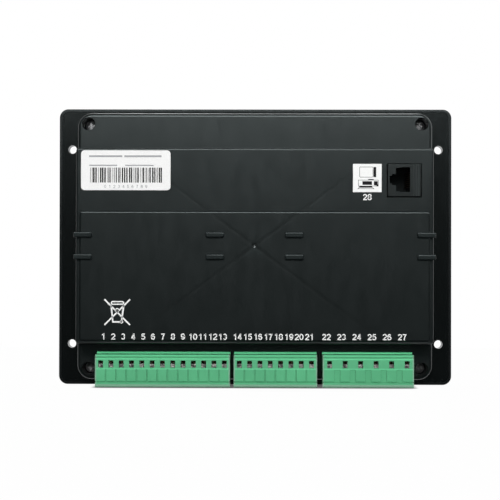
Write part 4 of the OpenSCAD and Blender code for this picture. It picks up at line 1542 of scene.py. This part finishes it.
@dataclass
class BackPrints:
    """White marks on the back: terminal numbers, a computer sign and a crossed-out bin.

    Attributes:
        band_y: Depth of the lower band.
        back_y: Depth of the raised back above it.
        number_up: Height of the numbers' middle.
        digits: How the numbers are drawn.
        rows: First number, count, place of the first along X and spacing, for each block.
        computer: Middle of the computer sign along X and Z.
        computer_size: Width and height of its white field.
        computer_line: Width of its lines.
        socket_number: The socket's own number, which follows the terminals'.
        socket_up: Height of its middle.
        bin: Middle of the bin sign along X and Z.
        bin_size: Width and height of its cross.
        bin_line: Width of its lines.
    """

    band_y: float = -36.0 * MM
    back_y: float = -35.4 * MM
    number_up: float = -44.7 * MM
    digits: Digits = Digits(3.05 * MM)
    rows: tuple[tuple[int, int, float, float], ...] = (
        (1, 13, -74.37 * MM, 4.9 * MM),
        (14, 8, -8.33 * MM, 5.06 * MM),
        (22, 6, 35.43 * MM, 7.45 * MM),
    )
    computer: tuple[float, float] = (55.46 * MM, 33.6 * MM)
    computer_size: tuple[float, float] = (14.13 * MM, 13.93 * MM)
    computer_line: float = 0.2 * MM
    socket_number: str = "28"
    socket_up: float = 24.2 * MM
    bin: tuple[float, float] = (-67.55 * MM, -32.72 * MM)
    bin_size: tuple[float, float] = (12.6 * MM, 12.6 * MM)
    bin_line: float = 0.75 * MM

    def numbers(self) -> Patch:
        """Sets the terminal numbers in their three rows.

        Returns:
            The numbers at their places on the back.
        """
        marks = [
            self.digits.text(str(first + k)).moved(start + k * pitch, self.number_up)
            for first, count, start, pitch in self.rows
            for k in range(count)
        ]
        return joined(marks)

    def computer_sign(self) -> Patch:
        """Draws a screen with its dark side, a case with its slots and a keyboard.

        Returns:
            The sign about its own middle.
        """
        thin = self.computer_line
        keyboard = shape((2.4, -4.4), (-3.9, -4.4), (-4.6, -5.3), (3.2, -5.3))
        parts = [
            stroke(rounded_box(6.6 * MM, 5.0 * MM, 0.4 * MM, 4) + shape((-0.5, 2.9)), thin, True),
            plate(box(1.3 * MM, 5.0 * MM) + shape((3.7, 2.9))),
            plate(box(2.6 * MM, 0.4 * MM) + shape((1.8, -0.75))),
            stroke(box(9.8 * MM, 2.9 * MM) + shape((0.5, -2.5)), thin, True),
            plate(box(4.7 * MM, 1.8 * MM) + shape((-0.05, -2.5))),
            plate(box(1.9 * MM, 2.0 * MM) + shape((4.2, -2.6))),
            plate(box(0.9 * MM, 1.0 * MM) + shape((5.0, -3.6))),
            stroke(keyboard, thin, True),
            stroke(shape((-3.9, -4.35), (2.4, -4.35)), 0.85 * MM),
        ]
        return joined(parts)

    def bin_sign(self) -> Patch:
        """Draws a bin with its lid, handle and wheel under a cross.

        Returns:
            The sign about its own middle.
        """
        half = np.array(self.bin_size) / 2
        cross = np.array([[-1, -1], [1, 1], [-1, 1], [1, -1]]) * half
        lid = rounded_box(6.0 * MM, 1.3 * MM, 0.6 * MM, 5) + shape((0.1, 4.55))
        parts = [
            stroke(cross[:2], self.bin_line),
            stroke(cross[2:], self.bin_line),
            stroke(shape((-3.0, 3.6), (-2.15, -4.8), (2.1, -4.8), (3.2, 3.6)), self.bin_line),
            stroke(lid, 0.6 * MM, True),
            plate(ring(0.85 * MM, 20) + shape((2.1, -4.7))),
            stroke(ring(0.7 * MM, 20) + shape((0, 1.1)), 0.5 * MM, True),
        ]
        return joined(parts)

    def build(self, finishes: Finishes) -> None:
        """Makes the marks.

        Args:
            finishes: The part's finishes.
        """
        white = plate(box(*self.computer_size)).moved(*self.computer)
        number = self.digits.text(self.socket_number).moved(self.computer[0], self.socket_up)
        dark = self.computer_sign().moved(*self.computer).lifted(FILM)
        marks = (
            ("terminal_numbers", self.numbers(), self.band_y, "white_ink"),
            ("computer_field", white, self.back_y, "white_ink"),
            ("socket_number", number, self.back_y, "white_ink"),
            ("computer_sign", dark, self.back_y, "black_ink"),
            ("bin_sign", self.bin_sign().moved(*self.bin), self.band_y, "white_ink"),
        )
        for name, patch, depth, ink in marks:
            make_piece(name, patch.on(Side.REAR, depth), finishes[ink], HOUSE)


@dataclass
class KeyMark:
    """The mark on one key's dished face.

    Attributes:
        node: The key's node.
        body: The key's body.
        ink: Finish of the mark.
        parts: Its lines and fields about the key's middle, as the user sees them.
        dish: Depth of the dish.
        round: Rounding of the key's edge.
        collar: Width of the collar under the overlay.
    """

    node: str
    body: str
    ink: str
    parts: list[Patch]
    dish: float = 0.3 * MM
    round: float = 0.8 * MM
    collar: float = 1.2 * MM

    def build(self, finishes: Finishes) -> None:
        """Lays the mark on the dish, whose depth follows a ball through its middle and its rim.

        Args:
            finishes: The part's finishes.
        """
        low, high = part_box(self.node)
        face = (high.x - low.x) / 2 - self.collar - self.round
        flat = joined(self.parts)
        reach = np.linalg.norm(flat.points[:, :2], axis=1)
        ball = (face * face + self.dish * self.dish) / (2 * self.dish)
        depth = high.y - self.dish + ball - np.sqrt(ball * ball - reach * reach)
        middle = (-(low.x + high.x) / 2, (low.z + high.z) / 2)
        patch = flat.moved(*middle).on(Side.FRONT, depth)
        make_piece(self.node + "_mark", patch, finishes[self.ink], self.body)


@dataclass
class FrontPanel:
    """Marks on the front: key signs, key rings, lamp signs and lines on the overlay.

    Attributes:
        face_y: Depth of the overlay's face.
        mode_z: Height of the mode keys.
        mode_pitch: Their spacing.
        mode_ring: Radius of the ring round a mode key.
        menu: Place of the menu keys along X, the middle one's height, and their spacing.
        menu_ring: Radius of the ring round a menu key.
        lamps: Place of the lamps along X, the lowest one's height, and their spacing.
        sign_off: Distance of a lamp's sign from the lamp.
        window: Middle of the display along X and Z, and its width and height.
        border: How much wider and higher than the window the line round it is.
        border_corner: Corner radius of that line.
        rule: Half the length of the rule under the display field, and its height.
        line: Width of the printed lines.
        bold: Width of the thick lines on the keys.
        fine: Width of the thin lines on the keys.
        thin: Width of the lines of the lamps' signs.
    """

    face_y: float = 6.9 * MM
    mode_z: float = -38 * MM
    mode_pitch: float = 33 * MM
    mode_ring: float = 9.4 * MM
    menu: tuple[float, float, float] = (-30 * MM, 23 * MM, 17 * MM)
    menu_ring: float = 6.6 * MM
    lamps: tuple[float, float, float] = (-56 * MM, 5 * MM, 12 * MM)
    sign_off: float = 8 * MM
    window: Area = (30 * MM, 23 * MM, 70 * MM, 38 * MM)
    border: float = 5 * MM
    border_corner: float = 2 * MM
    rule: tuple[float, float] = (80 * MM, -14.5 * MM)
    line: float = 0.4 * MM
    bold: float = 1.1 * MM
    fine: float = 0.7 * MM
    thin: float = 0.45 * MM

    def hand(self) -> list[Patch]:
        """Draws a raised hand.

        Returns:
            Its fingers, palm and thumb.
        """
        tips = ((-1.65, 2.5), (-0.55, 3.2), (0.55, 3.1), (1.65, 2.4))
        fingers = [stroke(shape((x, -0.6), (x, top)), 0.95 * MM) for x, top in tips]
        palm = plate(rounded_box(4.3 * MM, 3.4 * MM, 1.2 * MM, 5) + shape((0, -1.6)))
        thumb = stroke(shape((-1.8, -2.2), (-3.5, 0.2)), 1.0 * MM)
        return [*fingers, palm, thumb]

    def dial(self) -> list[Patch]:
        """Draws a dial.

        Returns:
            Its scale, needle and hub.
        """
        scale = stroke(arc(3.6 * MM, -10, 190, 28) + shape((0, -1.4)), self.fine)
        needle = stroke(shape((-0.2, -1.6), (1.9, 1.5)), self.fine)
        hub = plate(ring(0.8 * MM, 16) + shape((-0.2, -1.6)))
        return [scale, needle, hub]

    def cycle(self) -> list[Patch]:
        """Draws two arrows that chase each other round a circle.

        Returns:
            Their arcs and heads.
        """
        radius = 3.1 * MM
        arcs = [stroke(arc(radius, start, start + 130, 20), 0.85 * MM) for start in (30, 210)]
        aims = ((250, 165), (70, 345))
        heads = [plate(arc(1.25 * MM, aim, aim + 240, 3) + arc(radius, at, at, 1)) for aim, at in aims]
        return arcs + heads

    def key_marks(self) -> list[KeyMark]:
        """Draws the marks of the eight keys.

        Returns:
            One mark for each key.
        """
        rise = shape((2.1, -1.3), (0, 1.9), (-2.1, -1.3))
        tick = shape((-2.0, 0.1), (-0.6, -1.5), (2.1, 1.7))
        upright = shape((0, -3.4), (0, 3.4))
        return [
            KeyMark("key_stop", "stop_key", "white_ink", [stroke(ring(3.4 * MM), self.bold, True)]),
            KeyMark("key_manual", "manual_key", "black_ink", self.hand()),
            KeyMark("key_test", "test_key", "black_ink", self.dial()),
            KeyMark("key_auto", "auto_key", "black_ink", self.cycle()),
            KeyMark("key_start", "start_key", "white_ink", [stroke(upright, self.bold)]),
            KeyMark("key_up", "up_key", "black_ink", [plate(rise)]),
            KeyMark("key_enter", "enter_key", "black_ink", [stroke(tick, self.fine)]),
            KeyMark("key_down", "down_key", "black_ink", [plate(-rise)]),
        ]

    def key_rings(self) -> Patch:
        """Draws a ring round every key.

        Returns:
            The rings at their places.
        """
        mode = stroke(ring(self.mode_ring, 64), self.line, True)
        menu = stroke(ring(self.menu_ring, 48), self.line, True)
        x, z, pitch = self.menu
        modes = [mode.moved(k * self.mode_pitch, self.mode_z) for k in range(-2, 3)]
        menus = [menu.moved(-x, z + k * pitch) for k in range(-1, 2)]
        return joined(modes + menus)

    def frame_lines(self) -> Patch:
        """Draws the line round the window and the rule under the display field.

        Returns:
            Both lines at their places.
        """
        x, z, width, height = self.window
        edge = rounded_box(width + self.border, height + self.border, self.border_corner) + np.array([-x, z])
        half, up = self.rule
        rule = np.array([[-half, up], [half, up]])
        return joined([stroke(edge, self.line, True), stroke(rule, self.line)])

    def lamp_signs(self) -> Patch:
        """Draws a sign beside each lamp: bell, arrow to a load, machine and supply wave.

        Returns:
            The signs at their places.
        """
        x, low, pitch = self.lamps
        wave = np.linspace(-1.0, 1.0, 25)
        sine = np.column_stack([2.4 * wave, 1.3 * np.sin(math.pi * wave)]) * MM
        dome = arc(1.7 * MM, 0, 180, 13) + shape((0, 0.3))
        bell = np.vstack([shape((2.3, -1.6), (1.7, -0.4)), dome, shape((-1.7, -0.4), (-2.3, -1.6))])
        signs = [
            [stroke(bell, self.thin, True), plate(ring(0.5 * MM, 12) + shape((0, -2.4)))],
            [
                stroke(shape((-2.8, 0), (0.4, 0)), self.thin),
                stroke(shape((-0.7, 1.1), (0.5, 0), (-0.7, -1.1)), self.thin),
                stroke(box(2.0 * MM, 3.6 * MM) + shape((2.0, 0)), self.thin, True),
            ],
            [stroke(ring(2.6 * MM, 36), self.thin, True), stroke(sine * 0.62, self.thin)],
            [stroke(sine, self.thin)],
        ]
        rows = [joined(sign).moved(self.sign_off - x, low + k * pitch) for k, sign in enumerate(signs)]
        return joined(rows)

    def build(self, finishes: Finishes) -> None:
        """Makes the marks of the front.

        Args:
            finishes: The part's finishes.
        """
        for mark in self.key_marks():
            mark.build(finishes)
        lines = (
            ("key_rings", self.key_rings()),
            ("frame_lines", self.frame_lines()),
            ("lamp_signs", self.lamp_signs()),
        )
        for name, patch in lines:
            make_piece(name, patch.on(Side.FRONT, self.face_y), finishes["grey_ink"], HOUSE)


@dataclass
class DisplayPicture:
    """The picture on the display's glass: three plain readings with a bar each.

    Attributes:
        middle: Middle of the display along X and Z.
        readings: Each reading's numerals and the filled share of its bar.
        pitch: Spacing of the readings.
        digits: How the numerals are drawn.
        text_at: Place of the numerals' middle from the display's, to the right.
        gauge: Width and height of a bar's frame.
        gauge_at: Place of its middle from the display's, to the right.
        gauge_line: Width of its line.
        gauge_gap: How much smaller than its frame a full bar is.
        rule: Half the length of the rules between the readings.
        rule_line: Width of these rules.
    """

    middle: tuple[float, float] = (30 * MM, 23 * MM)
    readings: tuple[tuple[str, float], ...] = (("230", 0.78), ("50.0", 0.62), ("12.6", 0.46))
    pitch: float = 10.4 * MM
    digits: Digits = Digits(5.2 * MM, weight=0.13)
    text_at: float = -21 * MM
    gauge: tuple[float, float] = (34 * MM, 3.4 * MM)
    gauge_at: float = 13 * MM
    gauge_line: float = 0.4 * MM
    gauge_gap: float = 1.6 * MM
    rule: float = 32 * MM
    rule_line: float = 0.3 * MM

    def picture(self) -> Patch:
        """Draws the readings, their bars and the rules between them.

        Returns:
            The picture about the display's middle.
        """
        frame = stroke(box(*self.gauge), self.gauge_line, True)
        full, tall = (side - self.gauge_gap for side in self.gauge)
        parts = []
        for k, (text, share) in enumerate(self.readings):
            up = (1 - k) * self.pitch
            parts.append(self.digits.text(text).moved(self.text_at, up))
            parts.append(frame.moved(self.gauge_at, up))
            parts.append(plate(box(full * share, tall)).moved(self.gauge_at - full * (1 - share) / 2, up))
        for up in (-0.5 * self.pitch, 0.5 * self.pitch):
            parts.append(stroke(np.array([[-self.rule, up], [self.rule, up]]), self.rule_line))
        return joined(parts)

    def build(self, finishes: Finishes) -> None:
        """Makes the picture on the glass.

        Args:
            finishes: The part's finishes.
        """
        _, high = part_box("lcd_glass")
        patch = self.picture().moved(-self.middle[0], self.middle[1]).on(Side.FRONT, high.y)
        make_piece("display_picture", patch, finishes["black_ink"], HOUSE)


class Reach(Enum):
    """What a lamp does: whether it lights surfaces softly and whether it shows in gloss."""

    BOTH = (True, True)
    SOFT = (True, False)
    GLEAM = (False, True)


@dataclass(frozen=True)
class Lamp:
    """One soft lamp, which faces the part's middle.

    Attributes:
        name: Its name.
        place: Where it hangs.
        size: Its width and height.
        power: Its power in watts.
        reach: What it does.
    """

    name: str
    place: Point
    size: tuple[float, float]
    power: float
    reach: Reach = Reach.BOTH

    def hang(self) -> bpy.types.Object:
        """Hangs the lamp.

        Returns:
            The lamp's object.
        """
        light = bpy.data.lights.new(self.name, "AREA")
        light.shape = "RECTANGLE"
        light.size, light.size_y = self.size
        light.energy = self.power
        lamp = bpy.data.objects.new(self.name, light)
        lamp.location = self.place
        lamp.rotation_euler = (-Vector(self.place)).to_track_quat("-Z", "Y").to_euler()
        lamp.visible_camera = False
        lamp.visible_diffuse, lamp.visible_glossy = self.reach.value
        bpy.context.scene.collection.objects.link(lamp)
        return lamp


@dataclass
class Studio:
    """Floor, lamps, surroundings and camera.

    Attributes:
        eye: The camera's place.
        tilt: Its small turns about Y, X and Z.
        focal: Its focal length in image widths.
        sensor: Width of its sensor in millimetres.
        nearest: Distance from which it sees.
        lamps: The large soft lamps.
        glint: The small lamp for the bright metal.
        bright: Nodes of bright metal, which only that lamp makes glint.
        ambient: Level of the light from all round.
        dim: Level that gloss sees behind the camera.
        backdrop: Parts of a direction along Y between which gloss comes to see a white backdrop.
        floor: Half the floor's width.
        pale: Colour of the floor.
        matt: Roughness of the floor.
        under: Share of plain white that the camera sees on the floor under the part.
        veil: The same share beside the part.
        near: Distance from the part's footprint at which that share is reached.
        away: Distance from which the floor is plain white.
        foot: The footprint's middle along X and Y, and half its width and depth.
    """

    eye: Point = (6.03 * MM, -807.77 * MM, -9.51 * MM)
    tilt: Point = (-0.001976, 0.009772, 0.010676)
    focal: float = 3.136487
    sensor: float = 36.0
    nearest: float = 0.01
    lamps: tuple[Lamp, ...] = (
        Lamp("top_box", (0.0, -0.45, 0.28), (0.6, 0.16), 2.0, Reach.GLEAM),
        Lamp("overhead", (0.0, -0.06, 0.75), (0.9, 0.3), 3.0, Reach.SOFT),
        Lamp("left_box", (-0.094, 0.6, 0.65), (0.11, 0.7), 1.1, Reach.GLEAM),
        Lamp("right_box", (0.112, 0.6, 0.65), (0.11, 0.7), 1.0, Reach.GLEAM),
        Lamp("rear_fill", (0.1, -1.5, 0.35), (1.4, 0.8), 20.0, Reach.SOFT),
        Lamp("front_box", (-0.25, 0.75, 0.55), (1.0, 0.7), 6.0, Reach.SOFT),
        Lamp("side_fill", (1.0, 0.2, 0.5), (0.7, 0.9), 3.0),
    )
    glint: Lamp = Lamp("glint", (-0.04, -0.9, 0.16), (0.16, 0.1), 0.9, Reach.GLEAM)
    bright: tuple[str, ...] = ("housing_screws", "output_clamps", "input_clamps", "mains_clamps")
    ambient: float = 0.1
    dim: float = 0.03
    backdrop: tuple[float, float] = (0.2, 0.9)
    floor: float = 4.0
    pale: Colour = (0.62, 0.62, 0.62)
    matt: float = 0.9
    under: float = 0.1
    veil: float = 0.98
    near: float = 4 * MM
    away: float = 0.4
    foot: Area = (0.0, -10.5 * MM, 79 * MM, 11.5 * MM)

    def camera(self) -> None:
        """Sets the camera at the photograph's viewing angle."""
        lens = bpy.data.cameras.new("camera")
        lens.sensor_width = self.sensor
        lens.lens = self.focal * self.sensor
        lens.clip_start = self.nearest
        eye = bpy.data.objects.new("camera", lens)
        turns = [Matrix.Rotation(angle, 3, axis) for angle, axis in zip(self.tilt, "YXZ")]
        turn = turns[0] @ turns[1] @ turns[2]
        right, ahead, up = (turn.col[k] for k in range(3))
        facing = Matrix((right, up, -ahead)).transposed()
        eye.matrix_world = Matrix.LocRotScale(Vector(self.eye), facing, None)
        bpy.context.scene.collection.objects.link(eye)
        bpy.context.scene.camera = eye

    def light(self, nodes: dict[str, bpy.types.Object]) -> None:
        """Hangs the large soft lamps and the small one for the bright metal.

        Args:
            nodes: The part's nodes by name.
        """
        for lamp in self.lamps:
            lamp.hang()
        glint = self.glint.hang()
        bright = bpy.data.collections.new("bright_metal")
        for name in self.bright:
            bright.objects.link(nodes[name])
        glint.light_linking.receiver_collection = bright

    def surroundings(self) -> None:
        """Makes the world: white to the camera, a pale backdrop and a dim room to gloss."""
        world = bpy.data.worlds.new("studio")
        bpy.context.scene.world = world
        world.use_nodes = True
        wiring = Wiring(world.node_tree)
        path = wiring.add("ShaderNodeLightPath").outputs
        _, ahead, _ = wiring.split(wiring.add("ShaderNodeTexCoord").outputs["Generated"])
        backdrop = wiring.span(ahead, *self.backdrop, self.dim, 1.0)
        soft, gleam, plain = (
            wiring.white("ShaderNodeBackground", level) for level in (self.ambient, backdrop, 1.0)
        )
        gloss = wiring.math("MAXIMUM", path["Is Glossy Ray"], path["Is Transmission Ray"])
        room = wiring.mixed(gloss, soft, gleam)
        seen = wiring.mixed(path["Is Camera Ray"], room, plain)
        wiring.join(seen, wiring.add("ShaderNodeOutputWorld").inputs["Surface"])

    def ground(self, height: float) -> None:
        """Lays the pale floor, one square at one height.

        Args:
            height: Height of the floor.
        """
        bench = NodeBench("floor_pale")
        bench.set(Base_Color=self.pale, Roughness=self.matt)
        x, y, _ = bench.axes()
        reach = bench.outside(x, y, self.foot)
        beside = bench.span(reach, 0.0, self.near, self.under, self.veil)
        beyond = bench.span(reach, self.near, self.away, 0.0, 1.0)
        veil = bench.math("MAXIMUM", beside, beyond)
        share = bench.product(bench.add("ShaderNodeLightPath").outputs["Is Camera Ray"], veil)
        plain = bench.white("ShaderNodeEmission", 1.0)
        seen = bench.mixed(share, bench.shader.outputs["BSDF"], plain)
        bench.join(seen, bench.output.inputs["Surface"])
        square = np.column_stack([box(2 * self.floor, 2 * self.floor), np.full(4, height)])
        mesh = bpy.data.meshes.new("floor")
        mesh.from_pydata(square.tolist(), [], [[0, 1, 2, 3]])
        mesh.materials.append(bench.material)
        floor = bpy.data.objects.new("floor", mesh)
        floor.visible_glossy = False
        bpy.context.scene.collection.objects.link(floor)
        floor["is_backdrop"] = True

    def build(self, nodes: dict[str, bpy.types.Object], height: float) -> None:
        """Makes the studio round the part.

        Args:
            nodes: The part's nodes by name.
            height: Height of the floor.
        """
        bpy.context.scene.view_settings.view_transform = "Standard"
        self.camera()
        self.light(nodes)
        self.surroundings()
        self.ground(height)


def main() -> None:
    """Builds the dressed part and its studio."""
    logging.basicConfig(level=logging.INFO, format="%(message)s")
    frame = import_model()
    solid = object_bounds()
    finishes = Finishes()
    finishes.dress(frame["nodes"])
    for group in (TypeLabel(), BackPrints(), FrontPanel(), DisplayPicture()):
        group.build(finishes)
    Studio().build(frame["nodes"], solid[0].z - FLOOR_GAP)


if __name__ == "__main__":
    main()
